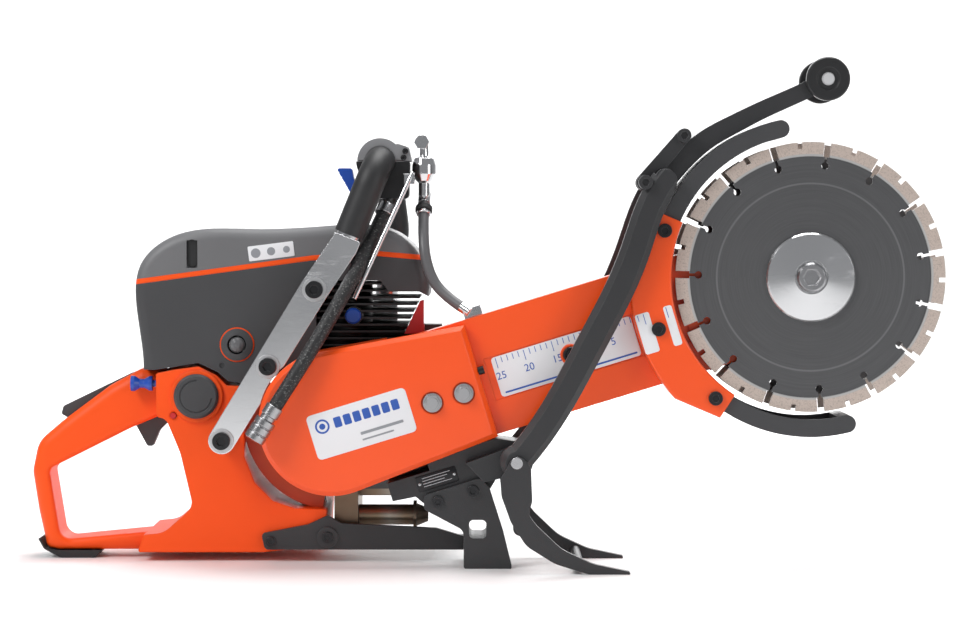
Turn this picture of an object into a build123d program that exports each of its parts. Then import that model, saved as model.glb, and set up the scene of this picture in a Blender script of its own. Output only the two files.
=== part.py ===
"""A petrol-driven twin-blade rescue saw.

It has a two-stroke power head on a rear-handle tank, a hollow cutting arm that carries two diamond blades, a
swinging guard fork with rollers, a wrap-round front handle and a water feed.

Units are millimetres. X points forward along the machine, Y to its far (starter) side, Z up, and it stands on Z = 0.
The cutting arm is laid out in its own coordinates: u along the arm from the drive axis, v square to it."""
from build123d import *
import math
import os

# ------------------------------------------------------------------ driving sizes
BLADE_RADIUS = 115
BLADE_THICK = 3
SEGMENT_THICK = 4
SEGMENT_HEIGHT = 12
GULLETS = 15
BLADE_SPACING = 38          # between the mid planes of the two blades

BAR_Y = -72                 # mid plane of the cutting arm and the belt
BAR_ANGLE = 17              # slope of the cutting arm
BAR_REACH = 427             # drive axis to blade axis
BAR_HALF_WIDTH = 51
BAR_THICK = 24
BAR_WALL = 3
BAR_START = 66              # rear end of the arm, along u
DRIVE_X, DRIVE_Z = -127, 125

DRIVE_PULLEY_R = 20
DRIVEN_PULLEY_R = 36
BELT_THICK = 3
BELT_WIDTH = 10
SPINDLE_R = 8.5
BEARING_R = 17
BEARING_WIDTH = 5
FLANGE_R = 38

COVER_R = 62                # round rear end of the belt cover
COVER_END = 133             # its front edge, along u
COVER_DEPTH = 14            # how far it stands proud of the arm
COVER_WALL = 2.5
COVER_CHAMFER = 4

GUARD_INNER_R = 119         # crescent blade guard, about the blade axis
GUARD_OUTER_R = 155
GUARD_PLATE = 2.7
GUARD_WIDTH = 60            # across both blades
GUARD_HALF_ANGLE = 40
GUARD_BOLT_R, GUARD_BOLT_ANGLE = 131, 34.6
SPLASH_INNER_R, SPLASH_OUTER_R = 121, 136
SPLASH_END_ANGLES = (-95, 87)

PIVOT_X, PIVOT_Z = 31, 94   # guard fork pivot
PIVOT_R = 5
FORK_GAP = 64               # between the inner faces of the fork
FORK_THICK = 12
FORK_WIDTH = 24
ROLLER_X, ROLLER_Z = 295, 418
ROLLER_R = 18.5
ROLLER_THICK = 6.5
TIP_ARM_WIDTH_Y = 38
SKID_THICK = 6              # side plates of the front skid

ENGINE_Y = 19               # mid plane of cylinder, rod and crank
CYLINDER_BORE_R = 25.5
STROKE = 40
ROD_LENGTH = 65
CRANK_R = 7.4               # crankshaft's drive end
FIN_PITCH = 6
FIN_THICK = 1.8
FIN_COUNT = 11

SHELL_NEAR_Y, SHELL_FAR_Y = -45, 70     # engine covers
SHELL_WALL = 4
TANK_NEAR_Y, TANK_FAR_Y = -45, 60
TANK_WALL = 4
HANDLE_Y = -3               # mid plane of the rear handle
HANDLE_WIDTH = 44
CAP_X, CAP_Z, CAP_R = -247.5, 145, 19.5

TUBE_R = 10.5               # front handle
GRIP_R = 13
TUBE_NEAR_Y, TUBE_FAR_Y = -67, 111
HOSE_R = 6.25
COUPLING_LENGTH, COUPLING_BORE_R = 34, 4.6
FEED_HOSE_R = 4.75

RUN_CLEARANCE = 0.06        # radial, of a shaft in its bush
FIT_CLEARANCE = 0.3         # between pieces that only sit beside each other

# ------------------------------------------------------------------ worked out from the driving sizes
COS_BAR, SIN_BAR = math.cos(math.radians(BAR_ANGLE)), math.sin(math.radians(BAR_ANGLE))
BLADE_X = DRIVE_X + BAR_REACH * COS_BAR
BLADE_Z = DRIVE_Z + BAR_REACH * SIN_BAR
REAR_X = -(BLADE_X + BLADE_RADIUS)      # the origin is half way along the machine
BAR_NEAR, BAR_FAR = BAR_Y - BAR_THICK / 2, BAR_Y + BAR_THICK / 2
COVER_FACE = BAR_NEAR - FIT_CLEARANCE - COVER_DEPTH
GUARD_HALF = GUARD_WIDTH / 2
FORK_IN, FORK_OUT = FORK_GAP / 2, FORK_GAP / 2 + FORK_THICK
SKID_IN = FORK_OUT + 2
SKID_OUT = SKID_IN + SKID_THICK
CARRIER_NEAR = BAR_FAR + FIT_CLEARANCE
CARRIER_FAR = BAR_Y + FORK_IN - 2.5
CASE_NEAR, CASE_FAR = -36, 50
SHAFT_Y = (BAR_Y - 7, CASE_FAR + 30)

NODES = {}


# ------------------------------------------------------------------ helpers
def slab(sketch, y_low, y_high):
    """A flat sketch, drawn as (x, z), given its thickness from y_low to y_high."""
    plane = Plane(origin=(0, y_high, 0), x_dir=(1, 0, 0), z_dir=(0, -1, 0))
    return extrude(plane * sketch, amount=y_high - y_low, dir=(0, -1, 0))


def outline(points, radius=0):
    """A polygon with round corners: radius is one value or one for each corner."""
    return make_face(FilletPolyline(*points, radius=radius, close=True))


def on_bar(sketch):
    """Takes a sketch drawn in arm coordinates to the machine's."""
    return Pos(DRIVE_X, DRIVE_Z) * Rot(0, 0, BAR_ANGLE) * sketch


def box_sketch(u_low, u_high, v_low, v_high):
    return Pos((u_low + u_high) / 2, (v_low + v_high) / 2) * Rectangle(u_high - u_low, v_high - v_low)


def block(x, y, z):
    """A box from three (low, high) pairs."""
    size = [pair[1] - pair[0] for pair in (x, y, z)]
    middle = [sum(pair) / 2 for pair in (x, y, z)]
    return Pos(*middle) * Box(*size)


def disc(x, z, radius, y_low, y_high, bore=0):
    """A round plate or a tube on an axis along Y."""
    sketch = Circle(radius)
    if bore:
        sketch -= Circle(bore)
    return slab(Pos(x, z) * sketch, y_low, y_high)


def turned_on(plane, profile):
    """A lathe-turned piece on the plane's Z axis, from (radius, height) corners."""
    return plane * revolve(Plane.XZ * Polygon(*profile, align=None), Axis.Z)


def turned(x, z, profile):
    """A lathe-turned piece on an axis along Y, from (radius, y) corners."""
    return turned_on(Plane(origin=(x, 0, z), x_dir=(1, 0, 0), z_dir=(0, 1, 0)), profile)


def bar_point(u, v):
    return DRIVE_X + u * COS_BAR - v * SIN_BAR, DRIVE_Z + u * SIN_BAR + v * COS_BAR


def guard_point(radius, angle):
    """A point round the blade axis; angle 0 looks back along the arm and grows downwards."""
    turn = math.radians(180 + BAR_ANGLE + angle)
    return BLADE_X + radius * math.cos(turn), BLADE_Z + radius * math.sin(turn)


def sector(inner, outer, start, end):
    """Part of a flat ring round the blade axis, between two angles as guard_point counts them."""
    middle = (start + end) / 2
    path = [
        Line(guard_point(inner, start), guard_point(outer, start)),
        ThreePointArc(guard_point(outer, start), guard_point(outer, middle), guard_point(outer, end)),
        Line(guard_point(outer, end), guard_point(inner, end)),
        ThreePointArc(guard_point(inner, end), guard_point(inner, middle), guard_point(inner, start)),
    ]
    return make_face(path)


def hexagon_head(x, z, across, y_low, y_high):
    return slab(Pos(x, z) * RegularPolygon(across / math.sqrt(3), 6), y_low, y_high)


def cap_screw(x, z, y_face, head_r, head_h, shank_r, length):
    """A socket-head screw driven in from the near side; y_face is the surface under its head."""
    head = disc(x, z, head_r, y_face - head_h, y_face)
    socket = hexagon_head(x, z, head_r, y_face - head_h, y_face - head_h / 2)
    return head - socket + disc(x, z, shank_r, y_face, y_face + length)


def pipe(points, radii, radius, bore=0):
    """A round tube along straight runs joined by arcs."""
    path = FilletPolyline(*points, radius=radii)
    start = Plane(origin=path @ 0, z_dir=path % 0)
    section = Circle(radius)
    if bore:
        section -= Circle(bore)
    return sweep(start * section, path=path)


def turn_radii(points, share=0.45):
    """The largest arc that the two runs at each inner corner of a route allow."""
    radii = []
    for a, b, c in zip(points, points[1:], points[2:]):
        first, second = Vector(*b) - Vector(*a), Vector(*c) - Vector(*b)
        turn = math.radians(first.get_angle(second))
        radii.append(share * min(first.length, second.length) / math.tan(turn / 2))
    return radii


def group(*shapes):
    """Separate pieces that share one node."""
    return Compound(children=[solid for shape in shapes for solid in shape.solids()])


def add(name, shape):
    NODES[name] = shape


# ------------------------------------------------------------------ blades and spindle
def gullets(reach, slot_width, keyhole_r, keyhole_at):
    cuts = Sketch()
    for k in range(GULLETS):
        slot = Pos((keyhole_at + reach) / 2, 0) * Rectangle(reach - keyhole_at, slot_width)
        cuts += Rot(0, 0, 360 / GULLETS * (k + 0.45)) * (slot + Pos(keyhole_at, 0) * Circle(keyhole_r))
    return cuts


def blade_core(y_mid):
    core_r = BLADE_RADIUS - SEGMENT_HEIGHT
    sketch = Circle(core_r) - Circle(10) - gullets(core_r + 2, 2.4, 3.2, core_r - 7.5)
    return slab(Pos(BLADE_X, BLADE_Z) * sketch, y_mid - BLADE_THICK / 2, y_mid + BLADE_THICK / 2)


def blade_segments(y_mid):
    core_r = BLADE_RADIUS - SEGMENT_HEIGHT
    ring = Circle(BLADE_RADIUS) - Circle(core_r - 0.5)
    for k in range(GULLETS):
        gap = Pos(BLADE_RADIUS - 5, 0) * Rectangle(SEGMENT_HEIGHT + 8, 6)
        notch = Pos(BLADE_RADIUS, 0) * Rectangle(SEGMENT_HEIGHT - 1, 4)
        ring -= Rot(0, 0, 360 / GULLETS * (k + 0.45)) * gap
        ring -= Rot(0, 0, 360 / GULLETS * (k + 0.95)) * notch
    return slab(Pos(BLADE_X, BLADE_Z) * ring, y_mid - SEGMENT_THICK / 2, y_mid + SEGMENT_THICK / 2)


def flange(side):
    """Dished aluminium clamping disc; side is -1 near, 1 far."""
    face = BLADE_SPACING / 2 + BLADE_THICK / 2
    profile = [(SPINDLE_R, face), (FLANGE_R, face), (FLANGE_R, face + 2.5), (FLANGE_R - 1.5, face + 4),
               (14, face + 7), (14, face + 4.5), (SPINDLE_R, face + 4.5)]
    return turned(BLADE_X, BLADE_Z, [(r, BAR_Y + side * h) for r, h in profile])


def blade_bolt(side):
    face = BLADE_SPACING / 2 + BLADE_THICK / 2 + 4.5
    head = turned(BLADE_X, BLADE_Z, [(0, BAR_Y + side * face), (12.5, BAR_Y + side * face),
                                     (12.5, BAR_Y + side * (face + 4)), (11, BAR_Y + side * (face + 6)),
                                     (0, BAR_Y + side * (face + 6))])
    low, high = sorted((BAR_Y + side * (face + 2), BAR_Y + side * (face + 7)))
    return head - hexagon_head(BLADE_X, BLADE_Z, 13, low, high)


def spindle():
    """One shaft for both blades: journals in the bearings, a shoulder and a seat for each blade."""
    shoulder = BLADE_SPACING / 2 - BLADE_THICK / 2
    seat = BLADE_SPACING / 2 + BLADE_THICK / 2
    end = seat + 4.5
    side = [(0, end), (SPINDLE_R, end), (SPINDLE_R, seat), (10, seat), (10, shoulder), (14, shoulder),
            (14, BAR_THICK / 2 + 0.4), (SPINDLE_R, BAR_THICK / 2 + 0.4)]
    profile = [(r, BAR_Y + h) for r, h in side] + [(r, BAR_Y - h) for r, h in reversed(side)]
    return turned(BLADE_X, BLADE_Z, profile)


def pulley(x, z, radius, bore, flange_height=2.5):
    """A flat-belt pulley with a low flange on each side."""
    half = BELT_WIDTH / 2 + 0.4
    rim = radius + flange_height
    profile = [(bore, -half - 1.2), (rim, -half - 1.2), (rim, -half), (radius, -half), (radius, half),
               (rim, half), (rim, half + 1.2), (bore, half + 1.2)]
    return turned(x, z, [(r, BAR_Y + h) for r, h in profile])


near_y, far_y = BAR_Y - BLADE_SPACING / 2, BAR_Y + BLADE_SPACING / 2
add("near_blade", blade_core(near_y) + blade_segments(near_y))
add("far_blade", blade_core(far_y) + blade_segments(far_y))
add("blade_flanges", flange(-1) + flange(1))
add("blade_spindle", group(spindle(), blade_bolt(-1), blade_bolt(1)))
add("driven_pulley", pulley(BLADE_X, BLADE_Z, DRIVEN_PULLEY_R, SPINDLE_R, 1.5))


def belt():
    """The flat belt as it runs, clear of both pulleys."""
    def loop(extra):
        big = Pos(BAR_REACH, 0) * Circle(DRIVEN_PULLEY_R + extra)
        return make_hull(Circle(DRIVE_PULLEY_R + extra).edges() + big.edges())
    sketch = loop(FIT_CLEARANCE + BELT_THICK) - loop(FIT_CLEARANCE)
    return slab(on_bar(sketch), BAR_Y - BELT_WIDTH / 2, BAR_Y + BELT_WIDTH / 2)


add("drive_belt", belt())


# ------------------------------------------------------------------ cutting arm
STUDS = ((88, -8), (116, -8))       # arm clamping studs, in arm coordinates
STUD_R = 5
SCALE = (140, BAR_REACH - 111, -23, 14)         # recess for the depth scale, in arm coordinates
GUARD_SCREW_R = 3


def bar_shape(shrink=0, start=BAR_START):
    half = BAR_HALF_WIDTH - shrink
    return box_sketch(start, BAR_REACH, -half, half) + Pos(BAR_REACH, 0) * Circle(half)


def stud_holes(radius):
    holes = Sketch()
    for u, v in STUDS:
        holes += Pos(u, v) * Circle(radius)
    return holes


def crescent_screw_hole(radius):
    return Pos(BAR_REACH - GUARD_SCREW_U, -4) * Circle(radius)


GUARD_SCREW_U = 137                 # middle guard screw, back from the blade axis along the arm


def bearing_boss(side):
    """The ring inside an arm plate that holds a spindle bearing."""
    inner = BAR_THICK / 2 - BEARING_WIDTH
    plate = BAR_THICK / 2 - BAR_WALL
    low, high = sorted((BAR_Y + side * inner, BAR_Y + side * plate))
    return disc(BLADE_X, BLADE_Z, BEARING_R + 3, low, high, BEARING_R)


def arm_housing():
    cavity = bar_shape(BAR_WALL + 1, BAR_START - 5)
    body = slab(on_bar(bar_shape()), BAR_NEAR + BAR_WALL, BAR_FAR)
    body -= slab(on_bar(cavity), BAR_NEAR, BAR_FAR - BAR_WALL)
    body -= disc(BLADE_X, BLADE_Z, BEARING_R, BAR_Y, BAR_FAR + 1)
    body -= slab(on_bar(stud_holes(STUD_R + FIT_CLEARANCE)
                        + crescent_screw_hole(GUARD_SCREW_R + FIT_CLEARANCE)),
                 BAR_Y, BAR_FAR + 1)
    return body + bearing_boss(1)


def arm_plate():
    body = slab(on_bar(bar_shape()), BAR_NEAR, BAR_NEAR + BAR_WALL)
    u_low, u_high, v_low, v_high = SCALE
    body -= slab(on_bar(box_sketch(u_low, u_high, v_low, v_high)), BAR_NEAR - 1, BAR_NEAR + 1)
    body -= disc(BLADE_X, BLADE_Z, BEARING_R, BAR_NEAR - 1, BAR_Y)
    body -= slab(on_bar(stud_holes(STUD_R + FIT_CLEARANCE)
                        + crescent_screw_hole(GUARD_SCREW_R + FIT_CLEARANCE)),
                 BAR_NEAR - 1, BAR_Y)
    return body + bearing_boss(-1)


def depth_scale():
    """Printed plate that tells how deep the blades are; it lies in the arm's recess."""
    u_low, u_high, v_low, v_high = SCALE
    end = BAR_REACH - GUARD_OUTER_R - 1
    plate = box_sketch(u_low + 6, end, v_low + 1, v_high - 1)
    return slab(on_bar(plate), BAR_NEAR + 0.2, BAR_NEAR + 1)


add("arm_housing", arm_housing())
add("arm_plate", arm_plate())
bearings = [disc(BLADE_X, BLADE_Z, BEARING_R, BAR_Y + a, BAR_Y + b, SPINDLE_R + RUN_CLEARANCE)
            for a, b in ((-BAR_THICK / 2, -BAR_THICK / 2 + BEARING_WIDTH),
                         (BAR_THICK / 2 - BEARING_WIDTH, BAR_THICK / 2))]
add("spindle_bearings", bearings[0] + bearings[1])


# ------------------------------------------------------------------ blade guard
def guard_shape():
    """Crescent round the back of the blades, with tapered horns."""
    shape = sector(GUARD_INNER_R, GUARD_OUTER_R, -GUARD_HALF_ANGLE, GUARD_HALF_ANGLE)
    for side in (-1, 1):
        cut = [guard_point(GUARD_OUTER_R - 13, side * (GUARD_HALF_ANGLE + 1)),
               guard_point(GUARD_OUTER_R + 1, side * 24),
               guard_point(GUARD_OUTER_R + 30, side * 30),
               guard_point(GUARD_OUTER_R + 10, side * (GUARD_HALF_ANGLE + 6))]
        shape -= Polygon(*cut, align=None)
    return shape


def guard_screw_places():
    spots = [guard_point(GUARD_BOLT_R, -GUARD_BOLT_ANGLE), guard_point(GUARD_BOLT_R, GUARD_BOLT_ANGLE)]
    return spots + [bar_point(BAR_REACH - GUARD_SCREW_U, -4)]


def screw_cuts(radius):
    cuts = Sketch()
    for x, z in guard_screw_places():
        cuts += Pos(x, z) * Circle(radius)
    return cuts


def blade_guard():
    """A hollow casting round both blades: it grips the arm in its middle and takes a splash guard at each horn."""
    wall = 4
    inside = GUARD_HALF - GUARD_PLATE
    body = slab(guard_shape(), BAR_Y - GUARD_HALF, BAR_Y + GUARD_HALF)
    rims = body.edges().filter_by_position(Axis.Y, BAR_Y - GUARD_HALF - 0.01, BAR_Y - GUARD_HALF + 0.01)
    far_rims = body.edges().filter_by_position(Axis.Y, BAR_Y + GUARD_HALF - 0.01, BAR_Y + GUARD_HALF + 0.01)
    body = fillet([edge for edge in rims + far_rims if edge.length > 30], 1.8)
    for side in (-1, 1):
        room = sector(GUARD_INNER_R - 5, GUARD_OUTER_R - 13 - wall,
                      *sorted((side * 23, side * (GUARD_HALF_ANGLE + 6))))
        body -= slab(room, BAR_Y - inside, BAR_Y + inside)
        pocket = sector(GUARD_INNER_R - 5, GUARD_OUTER_R - wall, -20, 20)
        low, high = sorted((BAR_Y + side * (BAR_THICK / 2 + 3), BAR_Y + side * inside))
        body -= slab(pocket, low, high)
    slot = box_sketch(BAR_START, BAR_REACH, -BAR_HALF_WIDTH - FIT_CLEARANCE, BAR_HALF_WIDTH + FIT_CLEARANCE)
    half = BAR_THICK / 2 + FIT_CLEARANCE
    body -= slab(on_bar(slot), BAR_Y - half, BAR_Y + half)
    return body - slab(screw_cuts(GUARD_SCREW_R + 0.1), BAR_Y - GUARD_HALF - 1, BAR_Y + GUARD_HALF + 1)


def splash_guard(side, end_angle):
    """One of the two channel-shaped arms that follow the blades' rim."""
    start = side * 25
    shape = sector(SPLASH_INNER_R, SPLASH_OUTER_R, *sorted((start, end_angle)))
    room = sector(SPLASH_INNER_R - 5, SPLASH_OUTER_R - 4, *sorted((start - side * 5, end_angle - side * 3)))
    half = GUARD_HALF - GUARD_PLATE - FIT_CLEARANCE
    tip = guard_point((SPLASH_INNER_R + SPLASH_OUTER_R) / 2, end_angle)
    shape += Pos(*tip) * Circle((SPLASH_OUTER_R - SPLASH_INNER_R) / 2)
    body = slab(shape, BAR_Y - half, BAR_Y + half) - slab(room, BAR_Y - half + 3, BAR_Y + half - 3)
    return body - slab(screw_cuts(GUARD_SCREW_R + 0.1), BAR_Y - half - 1, BAR_Y + half + 1)


def guard_screws():
    shapes = Part()
    face, back = BAR_Y - GUARD_HALF, BAR_Y + GUARD_HALF
    for x, z in guard_screw_places():
        shapes += cap_screw(x, z, face, 6, 3, GUARD_SCREW_R, GUARD_WIDTH + 5)
        shapes += disc(x, z, 6.5, back, back + 4, GUARD_SCREW_R)
    return shapes


add("blade_guard", blade_guard())
add("splash_guards", group(splash_guard(-1, SPLASH_END_ANGLES[0]), splash_guard(1, SPLASH_END_ANGLES[1])))


# ------------------------------------------------------------------ belt cover and the casting behind it
def cover_shape(shrink=0):
    front = [(COVER_END - shrink, BAR_HALF_WIDTH - 4 - shrink),
             (COVER_END - shrink, -BAR_HALF_WIDTH - 1 + shrink)]
    return make_hull(Circle(COVER_R - shrink).edges() + [Line(*front).edge()])


def belt_cover():
    """A cup round the clutch drum that runs on as a shallow cap over the root of the arm."""
    back = BAR_NEAR - FIT_CLEARANCE
    split = BAR_START - 1.5
    behind = box_sketch(split, COVER_END + 5, -COVER_R - 5, COVER_R + 5)
    body = slab(on_bar(cover_shape()), COVER_FACE, back)
    body += slab(on_bar(cover_shape() - behind), back, COVER_BACK)
    front = body.edges().filter_by_position(Axis.Y, COVER_FACE - 0.01, COVER_FACE + 0.01)
    body = chamfer(front, COVER_CHAMFER)
    body -= slab(on_bar(cover_shape(COVER_WALL)), COVER_FACE + COVER_WALL + 1, back + 1)
    body -= slab(on_bar(cover_shape(COVER_WALL) - behind), back, COVER_BACK + 1)
    body -= slab(on_bar(stud_holes(STUD_R + FIT_CLEARANCE)), COVER_FACE - 1, back)
    for u, v in STUDS:
        x, z = bar_point(u, v)
        body += disc(x, z, STUD_R + 4, COVER_FACE + 1.5, back, STUD_R + FIT_CLEARANCE)
        body -= disc(x, z, 9.5, COVER_FACE - 1, COVER_FACE + 1.5)
    return body - tension_plane() * Pos(0, 0, -6) * Cylinder(2.3, 12)


def arm_studs():
    """Two studs through cover, arm and casting, each with a flanged hexagon nut."""
    shapes = Part()
    for u, v in STUDS:
        x, z = bar_point(u, v)
        seat = COVER_FACE + 1.5
        shapes += disc(x, z, 8.2, seat - 1.4, seat) + hexagon_head(x, z, 12.5, seat - 6, seat - 1.4)
        shapes += disc(x, z, STUD_R, seat - 8, CARRIER_FAR)
    return shapes


def bar_carrier():
    """The casting that holds the arm to the engine and carries the guard's pivot under it."""
    root = Polygon((20, 44), (110, 44), (110, -60), (60, -64), (20, -64),
                   align=None) - Circle(CLUTCH_DRUM_R + 6)
    bolted = Polygon((BAR_START, 44), (132, 44), (132, -60), (BAR_START, -60), align=None)
    low = Polygon((30, -64), (68, -64), (68, -54), (130, -54), (152, -64), (142, -88), (120, -88), (110, -97),
                  (60, -97), (50, -82), (30, -80), align=None)
    body = slab(on_bar(bolted), CARRIER_NEAR, CARRIER_FAR)
    body += slab(on_bar(root), COVER_BACK + FIT_CLEARANCE, CASE_NEAR - 0.1)
    body -= slab(on_bar(stud_holes(STUD_R)), CARRIER_NEAR - 1, CARRIER_FAR)
    body += slab(on_bar(low), BAR_NEAR + FIT_CLEARANCE, CARRIER_FAR)
    body += disc(PIVOT_X, PIVOT_Z, 12.5, BAR_Y - FORK_IN + 0.5, BAR_Y + FORK_IN - 0.5)
    body += slab(on_bar(Polygon((100, -66), (140, -64), (140, -88), (110, -86), align=None)),
                 BAR_Y - FORK_IN + 8, BAR_Y)
    for x, z in STAND_SCREWS:
        body -= disc(x, z, 3.1, BAR_NEAR - 1, BAR_Y + 5)
    return body - disc(PIVOT_X, PIVOT_Z, PIVOT_R + RUN_CLEARANCE, BAR_Y - FORK_IN, BAR_Y + FORK_IN)


def tension_plane():
    """The belt tensioner's place in the end face of the cover, its Z along the arm."""
    x, z = bar_point(COVER_END + 2.7, 6)
    return Plane(origin=(x, (COVER_FACE + BAR_NEAR) / 2 - 1, z), z_dir=(COS_BAR, 0, SIN_BAR))


def tension_screw():
    return tension_plane() * (Cylinder(3.6, 5) + Pos(0, 0, -6) * Cylinder(2.2, 10))


CLUTCH_DRUM_R = 38
CLUTCH = (-58, -43)
COVER_BACK = SHELL_NEAR_Y - FIT_CLEARANCE
STAND_SCREWS = ((-36, 58), (-6, 67))
add("belt_cover", belt_cover())
add("bar_carrier", bar_carrier())


def rating_plate():
    body = slab(on_bar(outline([(54, -79), (90, -80), (90, -66), (54, -66)], 1)), BAR_NEAR - 0.3,
                BAR_NEAR + 0.25)
    for spot in ((58, -76), (86, -69)):
        x, z = bar_point(*spot)
        body += disc(x, z, 1.8, BAR_NEAR - 1.2, BAR_NEAR + 0.2)
    return body


def label_plates():
    """Blank plates: on the belt cover, the arm's depth scale, the casting's rating plate and the top cover's icons."""
    label = slab(on_bar(outline([(-19, -27), (69, -27), (69, 12), (-19, 12)], 3)), COVER_FACE - 0.6,
                 COVER_FACE - 0.05)
    icons = slab(outline([(-202, 262.5), (-162, 267.5), (-162, 280.5), (-202, 275.5)], 0.8),
                 SHELL_NEAR_Y - 0.5, SHELL_NEAR_Y - 0.05)
    return group(label, depth_scale(), rating_plate(), icons)


add("label_plates", label_plates())


# ------------------------------------------------------------------ engine
PIN_ANGLE = 50
PIN_X = DRIVE_X + STROKE / 2 * math.sin(math.radians(PIN_ANGLE))
PIN_Z = DRIVE_Z + STROKE / 2 * math.cos(math.radians(PIN_ANGLE))
WRIST_Z = PIN_Z + math.sqrt(ROD_LENGTH ** 2 - (PIN_X - DRIVE_X) ** 2)
CRANK_PIN_R, WRIST_PIN_R = 7.5, 5
DECK_Z = DRIVE_Z + 47               # joint face of crankcase and cylinder
BORE_TOP = DRIVE_Z + STROKE / 2 + ROD_LENGTH + 20
HEAD_THICK = 14
WEB_R = 28


def crankcase():
    shape = Pos(DRIVE_X, DRIVE_Z) * Circle(46) + Pos(DRIVE_X, (72 + DECK_Z) / 2) * Rectangle(106, DECK_Z - 72)
    body = slab(shape, CASE_NEAR + 18, CASE_FAR)
    body += disc(DRIVE_X, DRIVE_Z, 26, CASE_NEAR, CASE_NEAR + 18)
    for x, z in ((-88, 88), (-88, 158), (-166, 88)):
        body += disc(x, z, 8, CASE_NEAR - 0.1, CASE_NEAR + 18)
    body -= disc(DRIVE_X, DRIVE_Z, WEB_R + 9, ENGINE_Y - 20, ENGINE_Y + 20)
    body -= Pos(DRIVE_X, ENGINE_Y, DECK_Z) * Cylinder(CYLINDER_BORE_R + 0.5, 70)
    return body - disc(DRIVE_X, DRIVE_Z, CRANK_R + RUN_CLEARANCE, CASE_NEAR - 1, CASE_FAR + 1)


def crankshaft():
    y = ENGINE_Y
    body = disc(DRIVE_X, DRIVE_Z, CRANK_R, SHAFT_Y[0], y - 7)
    body += disc(DRIVE_X, DRIVE_Z, CRANK_R, y + 7, SHAFT_Y[1])
    for low, high in ((y - 15, y - 7), (y + 7, y + 15)):
        body += disc(DRIVE_X, DRIVE_Z, WEB_R, low, high)
    return body + disc(PIN_X, PIN_Z, CRANK_PIN_R, y - 10, y + 10)


def connecting_rod():
    y = ENGINE_Y
    big, small = Pos(PIN_X, PIN_Z) * Circle(13), Pos(DRIVE_X, WRIST_Z) * Circle(9)
    rod = make_hull((Pos(PIN_X, PIN_Z) * Circle(7)).edges() + (Pos(DRIVE_X, WRIST_Z) * Circle(6)).edges())
    body = slab(big + small, y - 5.5, y + 5.5) + slab(rod, y - 3.5, y + 3.5)
    body -= disc(PIN_X, PIN_Z, CRANK_PIN_R + RUN_CLEARANCE, y - 8, y + 8)
    return body - disc(DRIVE_X, WRIST_Z, WRIST_PIN_R + RUN_CLEARANCE, y - 8, y + 8)


def piston():
    r = CYLINDER_BORE_R - RUN_CLEARANCE
    body = Pos(DRIVE_X, ENGINE_Y, WRIST_Z + 1) * Cylinder(r, 34)
    body -= Pos(DRIVE_X, ENGINE_Y, WRIST_Z - 4) * Cylinder(r - 4, 34)
    for side in (-1, 1):
        low, high = sorted((ENGINE_Y + side * 7, ENGINE_Y + side * (r - 2)))
        body += disc(DRIVE_X, WRIST_Z, 8, low, high)
    return body + disc(DRIVE_X, WRIST_Z, WRIST_PIN_R, ENGINE_Y - r + 3, ENGINE_Y + r - 3)


FIN_X = (-176, -53)
FIN_Y = (ENGINE_Y - 50, ENGINE_Y + 30)


def cylinder_block():
    """Finned cylinder with its head; the fins' front ends lean back towards the foot."""
    top = BORE_TOP + HEAD_THICK
    body = Pos(DRIVE_X, ENGINE_Y, (DECK_Z + top) / 2) * Cylinder(CYLINDER_BORE_R + 5, top - DECK_Z)
    body += block((DRIVE_X - 38, DRIVE_X + 38), (ENGINE_Y - 36, ENGINE_Y + 30), (DECK_Z, DECK_Z + 7))
    fins = Part()
    for k in range(FIN_COUNT):
        z = DECK_Z + 10 + FIN_PITCH * k
        fins += block(FIN_X, FIN_Y, (z, z + FIN_THICK))
    lean = Polygon((FIN_X[1], 230), (FIN_X[1] - 26, 172), (FIN_X[1] + 10, 172), (FIN_X[1] + 10, 230),
                   align=None)
    body += fins - slab(lean, FIN_Y[0] - 1, FIN_Y[1] + 1)
    body += block((FIN_X[0] - 8, DRIVE_X - 20), (3, 35), (196, 222))
    body += block((DRIVE_X + 20, FIN_X[1] - 6), (5, 33), (186, 204))
    body += disc(*RELIEF_AT, 8, FIN_Y[0] - 2, FIN_Y[0] + 22)
    body -= Pos(DRIVE_X, ENGINE_Y, BORE_TOP - 60) * Cylinder(CYLINDER_BORE_R, 120)
    body -= Pos(DRIVE_X, ENGINE_Y, top) * Cylinder(5, 40)
    body -= Pos(-165, ENGINE_Y, 209) * Rot(0, 90, 0) * Cylinder(8, 50)
    body -= Pos(-75, ENGINE_Y, 195) * Rot(0, 90, 0) * Cylinder(7, 60)
    return body - disc(*RELIEF_AT, 4 + RUN_CLEARANCE, FIN_Y[0] - 3, FIN_Y[0] + 10)


RELIEF_AT = (-111, 215)


def relief_button():
    """Blue decompression button on a stem that runs in the cylinder's boss."""
    face = FIN_Y[0] - 2
    x, z = RELIEF_AT
    body = turned(x, z, [(0, face - 9), (5.6, face - 9), (7, face - 7.5), (7, face - 3), (4, face - 3),
                         (4, face + 7), (0, face + 7)])
    return body


def muffler():
    body = block((-70, -12), (-34, 50), (72, 165))
    body = fillet(body.edges(), 6)
    body += block((-56, -34), (5, 33), (150, 206)) + block((FIN_X[1] - 5.7, -34), (5, 33), (186, 204))
    body += block((-128, -62), (-10, 40), (54, 70)) + block((-70, -56), (-10, 40), (54, 90))
    body += block((-128, -107), (-36, 40), (28, 70))
    body -= block((-66, -16), (-30, 46), (76, 161))
    body -= block((-125, -110), (-33, 37), (31, 66))
    return body


EXHAUST_Y, EXHAUST_Z = -26, 39


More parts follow.
